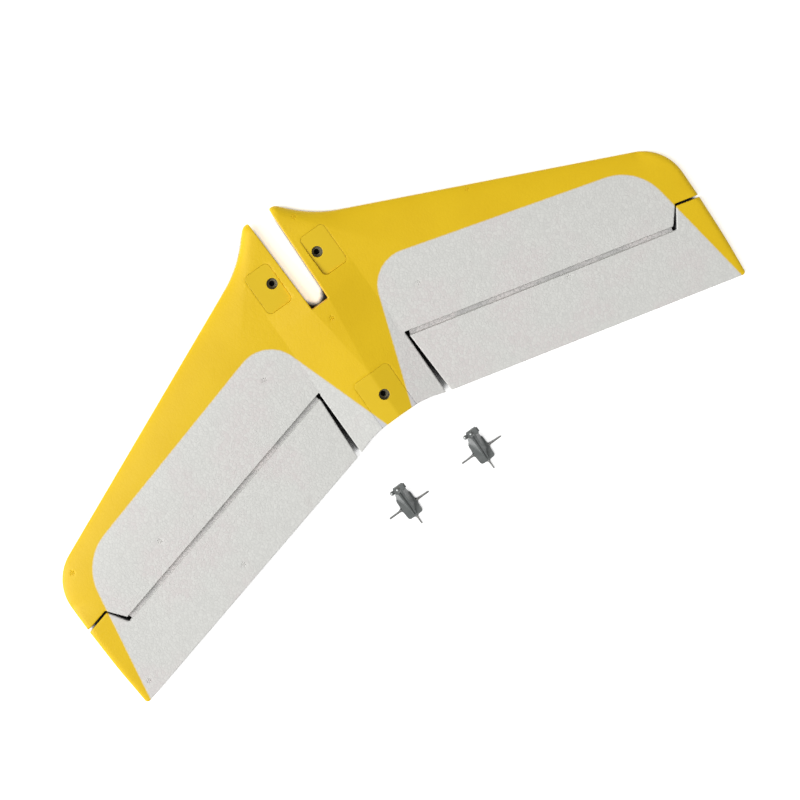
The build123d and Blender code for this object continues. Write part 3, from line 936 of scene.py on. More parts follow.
@dataclass(frozen=True)
class FoamFinish:
    """Bead foam, bare or sprayed, with the paint's soft edge read from the piece's own attribute, and painted
    shade on slit walls read from a second one.
    """

    name: str
    paint: tuple[float, float, float, float] = (0.83, 0.55, 0.009, 1.0)
    paint_dark: tuple[float, float, float, float] = (0.77, 0.495, 0.006, 1.0)
    bare: tuple[float, float, float, float] = (0.685, 0.685, 0.655, 1.0)
    seam: tuple[float, float, float, float] = (0.625, 0.62, 0.60, 1.0)
    warm: tuple[float, float, float, float] = (0.70, 0.66, 0.645, 1.0)
    # painted shade: near-black colour that slit walls fade to deep below the top, standing in for the shadow
    # in the narrow gaps
    cut: tuple[float, float, float, float] = (0.10, 0.10, 0.105, 1.0)
    cells: float = 500.0
    grime: tuple[float, float, float, float] = (0.45, 0.43, 0.40, 1.0)
    bare_relief: float = 0.36
    paint_relief: float = 0.16
    specular: float = 0.3
    painted: bool = True

    def make(self, groups: dict[str, bpy.types.NodeTree]) -> bpy.types.Material:
        """Builds the material.

        Args:
            groups: Shared shader groups by name.

        Returns:
            The material.
        """
        material = bpy.data.materials.new(self.name)
        material.use_nodes = True
        wire = Wiring(material.node_tree)
        shader = material.node_tree.nodes["Principled BSDF"]
        beads = wire.node("Group", node_tree=groups["beads"])
        beads.inputs[0].default_value = self.cells
        grain = wire.node("Group", node_tree=groups["grain"])
        marks = wire.node("Group", {"Amount": 0.5}, node_tree=groups["handling"])
        pillow, tone, height = beads.outputs
        speckle, cloud = grain.outputs
        cover = self.paint_cover(wire) if self.painted else 0.0
        seams = wire.math("SUBTRACT", 1.0, pillow)
        uneven = wire.share(wire.ramp(cloud, 0.35, 0.7), 0.55)
        paint = wire.blend(uneven, self.paint, self.paint_dark)
        paint = wire.blend(wire.share(seams, 0.22), paint, self.paint_dark)
        lighter = tuple(min(1.0, value * 1.08) for value in self.bare[:3]) + (1.0,)
        bare = wire.blend(wire.ramp(cloud, 0.46, 0.62), self.bare, self.warm)
        bare = wire.blend(wire.share(tone, 0.7), bare, lighter)
        bare = wire.blend(wire.share(seams, 0.6), bare, self.seam)
        bare = wire.blend(wire.share(marks.outputs["Dust"], 0.18), bare, self.grime)
        colour = wire.blend(cover, bare, paint)
        # painted shade: walls deep in the slits darken towards the cut colour with their depth below the top
        depth = wire.node("Attribute", attribute_name="shade_depth").outputs["Fac"]
        colour = wire.blend(wire.ramp(depth, 0.3, 1.6), colour, self.cut)
        wire.tree.links.new(colour, shader.inputs["Base Color"])
        bare_rough = wire.math("ADD", 0.46, wire.share(tone, 0.16))
        paint_rough = wire.math("ADD", 0.38, wire.share(speckle, 0.12))
        mixed = wire.node("Mix", {0: cover, 2: bare_rough, 3: paint_rough})
        scuffed = wire.math("ADD", mixed.outputs[0], wire.share(marks.outputs["Scuff"], 0.2))
        wire.tree.links.new(scuffed, shader.inputs["Roughness"])
        relief = wire.node("Mix", {0: cover, 2: self.bare_relief, 3: self.paint_relief})
        lumps = wire.math("MULTIPLY", height, relief.outputs[0])
        total = wire.math("ADD", lumps, wire.share(speckle, 0.10))
        bump = wire.node("Bump", {"Height": total, "Strength": 0.55, "Distance": 0.00035})
        wire.tree.links.new(bump.outputs[0], shader.inputs["Normal"])
        shader.inputs["Specular IOR Level"].default_value = self.specular
        return material

    def paint_cover(self, wire: Wiring) -> bpy.types.NodeSocket:
        """Share of paint: the stored distance from the paint's edge, made ragged and soft."""
        edge = wire.node("Attribute", attribute_name="paint_edge").outputs["Fac"]
        place = wire.node("TexCoord").outputs["Object"]
        spray = wire.node("TexNoise", {"Vector": place, "Scale": 900.0}).outputs[0]
        ragged = wire.share(wire.math("SUBTRACT", spray, 0.5), 0.6)
        return wire.ramp(wire.math("ADD", edge, ragged), -0.55, 0.55)


@dataclass(frozen=True)
class SolidFinish:
    """Moulded plastic, drawn wire, plated metal or pultruded carbon."""

    name: str
    colour: tuple[float, float, float, float]
    shade: tuple[float, float, float, float]
    roughness: float = 0.45
    metallic: float = 0.0
    grains: float = 2500.0
    relief: float = 0.3
    scuffs: float = 0.5
    grime: tuple[float, float, float, float] = (0.42, 0.40, 0.38, 1.0)
    stretch: tuple[float, float, float] = (1.0, 1.0, 1.0)

    def make(self, groups: dict[str, bpy.types.NodeTree]) -> bpy.types.Material:
        """Builds the material.

        Args:
            groups: Shared shader groups by name.

        Returns:
            The material.
        """
        material = bpy.data.materials.new(self.name)
        material.use_nodes = True
        wire = Wiring(material.node_tree)
        shader = material.node_tree.nodes["Principled BSDF"]
        sizes = {"Grains per metre": self.grains, "Clouds per metre": 140.0}
        grain = wire.node("Group", sizes, node_tree=groups["grain"])
        marks = wire.node("Group", {"Amount": self.scuffs}, node_tree=groups["handling"])
        speckle, cloud = grain.outputs
        place = wire.node("TexCoord").outputs["Object"]
        scale = tuple(1500.0 * value for value in self.stretch)
        drawn = wire.node("Mapping", {"Vector": place, "Scale": scale})
        lines = wire.node("TexNoise", {"Vector": drawn.outputs[0], "Scale": 1.0, "Detail": 3.0}).outputs[0]
        colour = wire.blend(wire.ramp(cloud, 0.3, 0.7), self.colour, self.shade)
        colour = wire.blend(wire.share(marks.outputs["Dust"], 0.3), colour, self.grime)
        wire.tree.links.new(colour, shader.inputs["Base Color"])
        rough = wire.math("ADD", self.roughness - 0.06, wire.share(speckle, 0.12))
        rough = wire.math("ADD", rough, wire.share(marks.outputs["Scuff"], 0.2))
        wire.tree.links.new(rough, shader.inputs["Roughness"])
        shader.inputs["Metallic"].default_value = self.metallic
        height = wire.math("ADD", wire.share(speckle, 0.5), wire.share(lines, 0.5))
        bump = wire.node("Bump", {"Height": height, "Strength": self.relief, "Distance": 0.00008})
        wire.tree.links.new(bump.outputs[0], shader.inputs["Normal"])
        return material


class Finish(Enum):
    """Every finish on the tailplane."""

    PAINTED_FOAM = FoamFinish("painted_foam")
    PAINTED_PLATE = FoamFinish(
        "painted_plate",
        paint=(0.78, 0.53, 0.012, 1.0),
        paint_dark=(0.74, 0.49, 0.010, 1.0),
        bare=(0.60, 0.60, 0.62, 1.0),
        paint_relief=0.04,
        bare_relief=0.05,
    )
    HINGE_FOAM = FoamFinish(
        "hinge_foam",
        bare=(0.49, 0.485, 0.475, 1.0),
        seam=(0.33, 0.33, 0.325, 1.0),
        cells=420.0,
        painted=False,
    )
    # olive-brown: partly the bush's own grey-brown plastic, partly painted reflection of yellow light bounced
    # off the paint into the bore
    GREY_BUSH = SolidFinish("grey_bush", (0.36, 0.33, 0.22, 1.0), (0.27, 0.245, 0.16, 1.0), roughness=0.5)
    HORN_NYLON = SolidFinish(
        "horn_nylon", (0.165, 0.175, 0.172, 1.0), (0.125, 0.135, 0.133, 1.0), roughness=0.42
    )
    STEEL_WIRE = SolidFinish(
        "steel_wire", (0.42, 0.42, 0.41, 1.0), (0.30, 0.30, 0.29, 1.0), roughness=0.34, metallic=1.0
    )
    BRIGHT_METAL = SolidFinish(
        "bright_metal", (0.34, 0.35, 0.345, 1.0), (0.24, 0.25, 0.245, 1.0), roughness=0.38, metallic=1.0
    )
    CARBON = SolidFinish(
        "carbon",
        (0.022, 0.022, 0.024, 1.0),
        (0.035, 0.035, 0.036, 1.0),
        roughness=0.38,
        stretch=(0.02, 1.0, 1.0),
    )


class Paintbox:
    """Makes each finish once and dresses pieces with it."""

    def __init__(self) -> None:
        """Builds the shared groups and every material."""
        self.groups = {"beads": bead_group(), "grain": grain_group(), "handling": handling_group()}
        self.materials = {finish: finish.value.make(self.groups) for finish in Finish}

    def dress(self, piece: bpy.types.Object, finish: Finish) -> None:
        """Gives a piece its material."""
        piece.data.materials.clear()
        piece.data.materials.append(self.materials[finish])


# ---------------------------------------------------------------- the foam


@dataclass
class Tailplane:
    """The foam tailplane: fixed panel, two elevators, two hinge webs, three plates, three bushes."""

    planform: Planform
    paint: Paintbox
    outline_pitch: float = 1.5
    recess_pitch: float = 0.8
    edge_round: float = 0.5
    thick_edge: float = 1.3
    thin_share: float = 0.3
    waviness: tuple[float, float] = (0.05, 34.0)
    plate_gap: float = 0.08
    plate_thickness: float = 1.2
    front_plate_top: float = 9.4
    front_plate_aft: tuple[float, float] = (23.6, 49.5)
    front_plate_x: tuple[float, float] = (11.0, 27.5)
    rear_plate_aft: tuple[float, float] = (109.5, 170.0)
    rear_plate_half: float = 12.0
    front_hole: tuple[float, float] = (15.7, 35.5)
    rear_hole_aft: float = 124.4
    head_radius: float = 3.2
    screw_radius: float = 1.6
    bush_radius: float = 4.2
    bush_floor: float = 2.6
    seat_front: float = 24.0
    vent_radius: float = 1.5
    rim_round: float = 0.25
    wall_reach: float = 0.02
    # slit walls from this far inside the centre section's edge outwards get painted shade
    shade_start: float = 3.0
    recess_radius: float = 3.0
    recess_lip: float = 0.12
    plate_edge: float = 0.15
    plate_lift: float = 0.02
    plate_corners: tuple[float, float] = (2.85, 2.75)
    plate_tail: tuple[float, float] = (0.2, 0.35)
    plate_tail_radius: float = 0.4
    rear_bush_drop: float = 0.9
    flush_drop: float = 0.15
    flush_aft: tuple[float, float] = (44.0, 62.0)
    flush_span: tuple[float, float] = (34.0, 58.0)
    flush_height: float = 4.3
    seat_round: float = 1.5
    seat_sides: tuple[float, float] = (28.6, 29.8)
    web_ends: tuple[float, float] = (1.0, 0.3)
    web_grid: tuple[int, int] = (260, 13)
    web_overlap: float = 0.35
    web_sag: float = 0.10
    web_wave: float = 0.04
    pocket_place: tuple[float, float] = (46.0, 14.8)
    pocket_floor: float = 4.4
    pocket_half: tuple[float, float] = (5.3, 7.6)
    pocket_wire: tuple[float, float] = (14.3, 0.85)
    pocket_tail: tuple[float, float] = (0.8, 13.9)
    pit_depth: float = 0.4
    pit_radii: tuple[float, float] = (0.15, 0.42)
    pit_ring: float = 1.05
    pit_turn: float = 0.3
    folds: tuple[tuple[float, float, float, float], ...] = (
        (29.2, 26.0, 29.2, 143.0),
        (5.9, 61.5, 0.5, 104.0),
        (0.5, 104.0, 0.5, 139.0),
    )
    plate_folds: tuple[tuple[float, float, float, float], ...] = ((0.5, 110.5, 0.5, 139.0),)
    vents: tuple[tuple[float, float], ...] = (
        (-51.0, 77.5),
        (53.0, 83.0),
        (-153.1, 118.1),
        (39.9, 139.5),
        (-204.1, 103.9),
        (107.2, 55.5),
        (16.3, 11.7),
        (0.7, 70.9),
    )
    elevator_vents: tuple[tuple[float, float], ...] = ((-122.9, 157.6), (127.2, 131.6), (-206.4, 180.7))

    # -- places --

    def hole_places(self) -> dict[str, tuple[float, float]]:
        """Name and row place of each screw hole."""
        x, aft = self.front_hole
        y = self.planform.y
        return {"front_left": (-x, y(aft)), "front_right": (x, y(aft)), "rear": (0.0, y(self.rear_hole_aft))}

    def fold_lines(self, folds: Sequence[tuple[float, float, float, float]]) -> list[tuple[Array, Array]]:
        """Start and end of each fold, given as x, aft, x, aft on the right, on both sides."""
        y = self.planform.y
        return [
            (np.array([side * x, y(aft)]), np.array([side * end_x, y(end_aft)]))
            for side in (1.0, -1.0)
            for x, aft, end_x, end_aft in folds
        ]

    def recesses(self) -> dict[str, Array]:
        """Closed outline of the recess for each plate."""
        half = self.rear_plate_half
        inner, outer = self.front_plate_x
        squares = {
            "front_left": ((-inner, -outer), self.front_plate_aft),
            "front_right": ((inner, outer), self.front_plate_aft),
            "rear": ((-half, half), self.rear_plate_aft),
        }
        outlines = {}
        for name, ((near, far), (front, back)) in squares.items():
            corners = [
                Corner(x, self.planform.y(aft), self.recess_radius)
                for x, aft in ((near, front), (far, front), (far, back), (near, back))
            ]
            outlines[name] = rounded_loop(corners, self.recess_pitch).points
        return outlines

    def horn_pocket(self, side: int) -> Array:
        """Outline of the recess for a horn's plate and wires, under an elevator."""
        half_x, half_y = self.pocket_half
        reach, wire = self.pocket_wire
        tail_x, tail_y = self.pocket_tail
        middle_x, behind = self.pocket_place
        x, y = side * middle_x, self.planform.y(self.planform.hinge(middle_x) + behind)
        right = [
            (half_x, half_y),
            (half_x, wire),
            (reach, wire),
            (reach, -wire),
            (half_x, -wire),
            (half_x, -half_y),
            (tail_x, -half_y),
            (tail_x, -tail_y),
        ]
        left = [(-px, py) for px, py in reversed(right)]
        return rounded_loop([Corner(x + px, y + py, 0.25) for px, py in right + left], 1.0).points

    # -- surfaces --

    def gaps(self, places: Array, outer: Loop, holes: Sequence[Loop] = ()) -> dict[Rim, Array]:
        """Distance of each place from the rims of each kind."""
        found = {kind: segment_distance(places, *outer.segments(kind)) for kind in Rim}
        for hole in holes:
            found[Rim.WALL] = np.minimum(found[Rim.WALL], segment_distance(places, *hole.segments()))
        return found

    def half_height(self, places: Array, gap: dict[Rim, Array]) -> Array:
        """Half thickness with the nose, tip and hinge groove worked in."""
        plan = self.planform
        x, y = places.T
        half = plan.half_height(x, y, gap[Rim.LEADING], gap[Rim.TIP])
        groove = plan.web_half + gap[Rim.HINGE] / plan.groove_slope
        return soft_minimum(half, groove, plan.groove_blend)

    def edge_drop(self, half: Array, gap: dict[Rim, Array]) -> Array:
        """How far a surface falls away at a cut edge, a quarter round smaller where foam is thin."""
        radius = self.edge_round * np.clip(half / self.thick_edge, self.thin_share, 1.0)
        near = np.minimum(gap[Rim.WALL], gap[Rim.TRAILING])
        return radius * (1.0 - quarter_round(near, self.edge_round))

    def unevenness(self, places: Array, seed: int) -> Array:
        """Slight waviness of moulded foam, a few hundredths of a millimetre."""
        height, pitch = self.waviness
        return height * ripple(places[:, 0], places[:, 1], pitch, seed)

    def vent_dimples(self, places: Array, vents: Sequence[tuple[float, float]]) -> Array:
        """Depth of the moulding vents: a centre pit and six pits round it, each a round dimple."""
        depth = np.zeros(len(places))
        turn = np.arange(6) * (math.pi / 3.0) + self.pit_turn
        ring = np.stack([np.cos(turn), np.sin(turn)], axis=1) * self.pit_ring
        for x, aft in vents:
            for offset in np.vstack([[0.0, 0.0], ring]):
                away = np.linalg.norm(places - (np.array([x, self.planform.y(aft)]) + offset), axis=1)
                depth = np.maximum(depth, self.pit_depth * (1.0 - smooth_step(away, *self.pit_radii)))
        return depth

    def panel_top(self, places: Array, half: Array) -> Array:
        """Upper surface of the fixed panel, with the ridged roof over the centre section."""
        x, y = places.T
        aft = self.planform.nose_y - y
        flush = self.flush_drop * (1.0 - smooth_step(aft, *self.flush_aft))
        flush = flush * (1.0 - smooth_step(np.abs(x), *self.flush_span))
        shy = np.minimum(flush, np.maximum(half - self.flush_height, 0.0))
        return self.planform.mid_z + half - shy + self.planform.roof(x, y)

    def panel_bottom(self, places: Array, half: Array, gap: dict[Rim, Array]) -> Array:
        """Lower surface of the fixed panel, with the flat seat under the centre section."""
        x, y = places.T
        plan = self.planform
        aft = plan.nose_y - y
        free = plan.mid_z - half
        ahead = np.clip((self.seat_front + self.seat_round - aft) / self.seat_round, 0.0, 1.0)
        seat = plan.seat_z + self.seat_round * (1.0 - np.sqrt(1.0 - ahead**2))
        inside_seat = (1.0 - smooth_step(np.abs(x), *self.seat_sides)) * (aft > self.seat_front)
        return free + (np.minimum(seat, free) - free) * inside_seat

    def write_paint_and_shade(self, piece: bpy.types.Object, outer: Loop, holes: Sequence[Loop]) -> None:
        """Stores each point's distance outside the white patches and, on outer slit walls, its depth below
        the top, which the material paints as shade.

        Args:
            piece: The foam piece, whose points are in metres.
            outer: Its outline.
            holes: The openings through it.
        """
        plan = self.planform
        places = np.empty(len(piece.data.vertices) * 3)
        piece.data.vertices.foreach_get("co", places)
        places = places.reshape(-1, 3) * METRE
        flat = places[:, :2]
        right, left = (signed_distance(flat, plan.white_patch(side)) for side in (1, -1))
        edge = np.minimum(right, left)
        on_wall = self.gaps(flat, outer, holes)[Rim.WALL] < self.wall_reach
        # painted shade: outer slit walls store their depth below the top, which the material darkens
        shaded_wall = on_wall & (np.abs(places[:, 0]) > plan.centre_half - self.shade_start)
        top_z = plan.mid_z + plan.plateau(places[:, 0], places[:, 1])
        depth = np.where(shaded_wall, np.maximum(top_z - places[:, 2] - self.edge_round, 0.0), 0.0)
        for name, values in (("paint_edge", edge), ("shade_depth", depth)):
            attribute = piece.data.attributes.new(name, "FLOAT", "POINT")
            attribute.data.foreach_set("value", values.astype(np.float32))

    # -- pieces --

    def fixed_panel(self) -> bpy.types.Object:
        """The one-piece fixed foam, with its slot, plate recesses and bush sockets."""
        plan = self.planform
        outer = plan.fixed_outline(self.outline_pitch)
        holes = [circle_loop(x, y, self.bush_radius) for x, y in self.hole_places().values()]
        dots = [(x, plan.y(aft), self.vent_radius) for x, aft in self.vents]
        outlines = list(self.recesses().values())
        flat = PlanformMesher().cover(outer, holes, outlines, self.fold_lines(self.folds), dots)
        gap = self.gaps(flat.points, outer, holes)
        half = self.half_height(flat.points, gap)
        drop = self.edge_drop(half, gap)
        top = self.panel_top(flat.points, half) + self.unevenness(flat.points, 3)
        bottom = self.panel_bottom(flat.points, half, gap) + drop
        top -= self.vent_dimples(flat.points, self.vents)
        recess = np.zeros(len(top), dtype=bool)
        rim = np.full(len(top), FAR)
        for outline in outlines:
            recess |= inside(flat.points, outline)
            rim = np.minimum(rim, segment_distance(flat.points, outline, np.roll(outline, -1, axis=0)))
        lip = self.recess_lip * (1.0 - quarter_round(rim, self.rim_round))
        floor = np.where(flat.points[:, 1] > 0.0, self.front_plate_top, top) - self.plate_thickness
        top = np.where(recess, floor, top - drop - lip)
        nose = half < 1e-3
        top = np.where(nose, plan.mid_z, top)
        bottom = np.where(nose, plan.mid_z, bottom)
        piece = shell("foam_fixed_panel", flat, np.maximum(top, bottom), bottom)
        self.write_paint_and_shade(piece, outer, holes)
        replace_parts(piece, "fixed_panel")
        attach(piece, "tailplane")
        self.paint.dress(piece, Finish.PAINTED_FOAM)
        return piece

    def elevator(self, side: int) -> bpy.types.Object:
        """One elevator with its balance tab, bevelled hinge edge and horn pocket."""
        plan = self.planform
        word = "right" if side > 0 else "left"
        outer = plan.elevator_outline(side, self.outline_pitch)
        vents = [(x, aft) for x, aft in self.elevator_vents if x * side > 0]
        dots = [(x, plan.y(aft), self.vent_radius) for x, aft in vents]
        pocket = self.horn_pocket(side)
        flat = PlanformMesher().cover(outer, (), [pocket], (), dots)
        gap = self.gaps(flat.points, outer)
        half = self.half_height(flat.points, gap)
        drop = self.edge_drop(half, gap)
        top = plan.mid_z + half - drop + self.unevenness(flat.points, 11 + side)
        top -= self.vent_dimples(flat.points, vents)
        bottom = plan.mid_z - half + drop
        bottom = np.where(inside(flat.points, pocket), self.pocket_floor, bottom)
        tip = half < 1e-3
        top, bottom = np.where(tip, plan.mid_z, top), np.where(tip, plan.mid_z, bottom)
        piece = shell(f"foam_{word}_elevator", flat, np.maximum(top, bottom), bottom)
        self.write_paint_and_shade(piece, outer, ())
        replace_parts(piece, f"{word}_elevator")
        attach(piece, f"{word}_elevator")
        self.paint.dress(piece, Finish.PAINTED_FOAM)
        return piece

    def hinge_web(self, side: int) -> bpy.types.Object:
        """Thin strip of foam left in the groove between the panel and one elevator.

        Its section is a flat rounded rectangle whose two faces sag a little, carried along the
        hinge axis.
        """
        plan = self.planform
        word = "right" if side > 0 else "left"
        start_x = plan.slit_front + self.web_ends[0]
        end_x = plan.notch_x - plan.notch_radius - self.web_ends[1]
        stations = np.linspace(start_x, end_x, self.web_grid[0])[:, None]
        reach = plan.groove_foot + self.web_overlap
        across = np.linspace(-reach, reach, self.web_grid[1])
        upper = plan.web_half - self.web_sag * np.clip(1.0 - (across / plan.groove_foot) ** 2, 0.0, 1.0)
        section = np.vstack([np.column_stack([across, -upper]), np.column_stack([across, upper])[::-1]])
        ahead, up = section[:, 0][None], section[:, 1][None]
        waves = self.web_wave * ripple(stations, np.zeros_like(stations), 6.0, 5)
        x = side * (stations + ahead * math.sin(plan.hinge_sweep))
        y = plan.nose_y - plan.hinge(stations) + ahead * math.cos(plan.hinge_sweep)
        z = plan.mid_z + (up + waves * np.sign(up))
        rows, columns = z.shape
        places = np.stack([x, y, z], axis=-1).reshape(-1, 3)
        faces = grid_faces(rows, columns, False).tolist()
        faces.append(list(range(columns))[::-1])
        faces.append([(rows - 1) * columns + i for i in range(columns)])
        piece = new_object(f"foam_{word}_hinge", places, faces)
        mend(piece)
        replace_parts(piece, f"{word}_hinge_web")
        middle_x = (start_x + end_x) / 2
        front = plan.hinge_place(middle_x, plan.groove_foot)
        back = plan.hinge_place(middle_x, -plan.groove_foot)
        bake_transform(piece)
        self.paint.dress(piece, Finish.HINGE_FOAM)
        return piece

    def plate_outline(self, name: str) -> Loop:
        """Outline of a plate, a little inside its recess; the rear one ends at the foam's edge."""
        plan, gap = self.planform, self.plate_gap
        front_radius, rear_radius = self.plate_corners
        if name == "rear":
            half = self.rear_plate_half - gap
            fore = plan.y(self.rear_plate_aft[0] + gap)
            edge = plan.y(plan.centre_aft - self.plate_tail[0])
            corners = [
                Corner(-half, fore, rear_radius),
                Corner(half, fore, rear_radius),
                Corner(half, edge - self.plate_tail[1], self.plate_tail_radius),
                Corner(0.0, edge, 0.0),
                Corner(-half, edge - self.plate_tail[1], self.plate_tail_radius),
            ]
        else:
            side = 1.0 if name == "front_right" else -1.0
            fore, rear = plan.y(self.front_plate_aft[0] + gap), plan.y(self.front_plate_aft[1] - gap)
            inner, outer = self.front_plate_x[0] + gap, self.front_plate_x[1] - gap
            square = ((inner, fore), (outer, fore), (outer, rear), (inner, rear))
            corners = [Corner(side * x, y, front_radius) for x, y in square]
        return rounded_loop(corners, self.recess_pitch).anticlockwise()

    def plate(self, name: str) -> bpy.types.Object:
        """A mounting plate let into the foam, with softly rounded edges and its screw hole."""
        plan = self.planform
        loop = self.plate_outline(name)
        hole_x, hole_y = self.hole_places()[name]
        holes = [circle_loop(hole_x, hole_y, self.head_radius, 56)]
        mesher = PlanformMesher(pitch=1.0, rings=(0.05, 0.12, 0.25, 0.45, 0.8))
        flat = mesher.cover(loop, holes, (), self.fold_lines(self.plate_folds) if name == "rear" else ())
        near = segment_distance(flat.points, *loop.segments())
        near = np.minimum(near, segment_distance(flat.points, *holes[0].segments()))
        drop = self.plate_edge * (1.0 - quarter_round(near, self.rim_round))
        if name == "rear":
            far = np.full(len(flat.points), FAR)
            half = plan.half_height(flat.points[:, 0], flat.points[:, 1], far, far)
            surface = self.panel_top(flat.points, half)
        else:
            surface = np.full(len(flat.points), self.front_plate_top)
        floor = surface - self.plate_thickness + self.plate_lift
        piece = shell(f"painted_{name}_plate", flat, surface - drop, floor)
        self.write_paint_and_shade(piece, loop, holes)
        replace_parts(piece, f"{name}_plate")
        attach(piece, "tailplane")
        self.paint.dress(piece, Finish.PAINTED_PLATE)
        return piece

    def bush(self, name: str) -> bpy.types.Object:
        """A flanged plastic bush: a cup for the screw's head over a smaller bore."""
        x, y = self.hole_places()[name]
        _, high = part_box(f"{name}_bush")
        top = high.z * METRE - (self.rear_bush_drop if name == "rear" else 0.0)
        outer, head = self.bush_radius - 0.02, self.head_radius
        bore, floor = self.screw_radius, self.bush_floor
        profile = rounded_profile(
            [
                (bore, 0.0, 0.25),
                (outer, 0.0, 0.15),
                (outer, top, 0.1),
                (head, top, 0.3),
                (head, floor + 0.5, 0.2),
                (head - 0.35, floor, 0.3),
                (bore, floor, 0.2),
            ]
        )
        piece = spun(f"plastic_{name}_bush", profile, (x, y, 0.0), count=64)
        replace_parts(piece, f"{name}_bush")
        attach(piece, "tailplane")
        self.paint.dress(piece, Finish.GREY_BUSH)
        return piece

    def build(self) -> list[bpy.types.Object]:
        """Makes every piece of the tailplane and dresses the carbon inside it."""
        made = [self.fixed_panel()]
        for side in (1, -1):
            made += [self.elevator(side), self.hinge_web(side)]
        for name in self.hole_places():
            made += [self.plate(name), self.bush(name)]
        strips = [f"{word}_{part}_strip" for part in ("panel", "elevator") for word in ("left", "right")]
        for node in ("main_spar", *strips):
            self.paint.dress(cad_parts[node], Finish.CARBON)
        return made


# ---------------------------------------------------------------- the control horns


@dataclass
class ControlHorn:
    """One loose control horn: nylon body, two wires, a ball stud across its head and its nut."""

    word: str
    paint: Paintbox
    eye_y: float = 13.4
    eye_z: float = 11.1
    wire_z: float = 0.85
    cross: tuple[float, float] = (28.0, 0.55)
    tail: tuple[float, float] = (12.4, 0.5)
    tail_start: float = 0.95
    stud_radius: float = 0.8
    ball_radius: float = 1.4
    ball_offset: float = 4.1
    head_x: tuple[float, float] = (-2.6, 3.9)
    head_rise: float = 2.1
    collar: tuple[float, float] = (1.5, 0.5)
    nut: tuple[float, float] = (1.7, 0.9)
    clamp_x: float = -0.2
    clamp_head: tuple[float, float] = (1.4, 0.8)
    clamp_shank: tuple[float, float] = (0.5, 1.1)
    bevel: float = 0.22
    nut_bore: float = 0.98
    nut_face: float = 0.1
    nut_cone: tuple[float, float] = (0.03, 0.06)
    wire_wave: float = 0.012
    thread_depth: float = 0.06
    thread_pitch: float = 0.32

    def place(self) -> Vector:
        """Middle of the horn's cross wire at floor height, from the frame."""
        low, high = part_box(f"{self.word}_horn_cross_rod")
        middle = (low + high) / 2 * METRE
        return Vector((middle.x, middle.y, 0.0))

    def body(self) -> bpy.types.Object:
        """The moulded body: the frame's own shape with its doubled points merged and edges rounded."""
        node = f"{self.word}_horn_body"
        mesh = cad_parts[node].data.copy()
        mesh.name = f"nylon_{node}"
        piece = bpy.data.objects.new(f"nylon_{node}", mesh)
        bpy.context.scene.collection.objects.link(piece)
        grid = bmesh.new()
        grid.from_mesh(mesh)
        bmesh.ops.remove_doubles(grid, verts=grid.verts, dist=2e-6)
        bmesh.ops.dissolve_limit(grid, angle_limit=math.radians(1.5), verts=grid.verts, edges=grid.edges)
        bmesh.ops.recalc_face_normals(grid, faces=grid.faces)
        grid.to_mesh(mesh)
        grid.free()
        mesh.polygons.foreach_set("use_smooth", np.ones(len(mesh.polygons), dtype=bool))
        edge = piece.modifiers.new("mould radius", "BEVEL")
        edge.width = self.bevel / METRE
        edge.segments = 3
        edge.limit_method = "ANGLE"
        edge.angle_limit = math.radians(32.0)
        edge.use_clamp_overlap = True
        edge.harden_normals = False
        mesh.set_sharp_from_angle(angle=math.radians(60.0))
        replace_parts(piece, node)
        return piece

    def wire(self, part: str, start: Vector, length: float, radius: float, axis: str) -> bpy.types.Object:
        """A straight steel wire with its cut ends rounded: a capsule-like profile spun about an axis.

        Args:
            part: Name of the wire.
            start: Its end with the lowest coordinate, on its axis.
            length: Its length.
            radius: Its radius.
            axis: The axis it lies along.

        Returns:
            The wire.
        """
        nose = 0.3 * radius
        turn = np.linspace(0.0, math.pi / 2, 6)
        near = np.column_stack([radius - nose + nose * np.sin(turn), nose - nose * np.cos(turn)])
        far = np.column_stack([near[::-1, 0], length - near[::-1, 1]])
        waists = np.linspace(nose, length - nose, 24)[1:-1]
        drawn = np.column_stack([radius * (1.0 + self.wire_wave * np.sin(waists * 1.7)), waists])
        profile = np.vstack([[0.0, 0.0], near, drawn, far, [0.0, length]])
        node = f"{self.word}_horn_{part}"
        piece = spun(f"wire_{node}", profile, start, axis, 24, closed=False)
        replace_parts(piece, node)
        return piece

    def hexagon(self, size: tuple[float, float], start: float, place: Vector) -> tuple[Array, list]:
        """Chamfered hexagonal prism along X.

        Its radius is the smaller of the hexagon's, apothem / cos(angle to the nearest flat's
        middle), and that of a cone that cuts its corners at both ends.

        Args:
            size: Radius over the corners, and thickness.
            start: Its first X, measured from the place.
            place: Middle of the head's cross hole.

        Returns:
            Places and faces, with a bore for the stud.
        """
        corner, thick = size
        count = 72
        angle = np.arange(count) * (2.0 * math.pi / count)
        apothem = corner * math.cos(math.pi / 6)
        flat = apothem / np.cos((angle + math.pi / 6) % (math.pi / 3) - math.pi / 6)
        chamfer = 0.35 * (corner - apothem) + 0.12
        bore = np.full(count, self.stud_radius * self.nut_bore)
        face = np.minimum(flat, apothem - self.nut_face)
        cone = np.minimum(flat, apothem + self.nut_cone[0])
        rows = [(bore, 0.0), (face, 0.0), (cone, self.nut_cone[1]), (flat, chamfer)]
        rows += [(radius, thick - x) for radius, x in reversed(rows)]
        sides = [
            np.column_stack([np.full(count, start + x), radius * np.cos(angle), radius * np.sin(angle)])
            for radius, x in rows
        ]
        return np.vstack(sides) + np.array(place), grid_faces(len(rows), count, True).tolist()

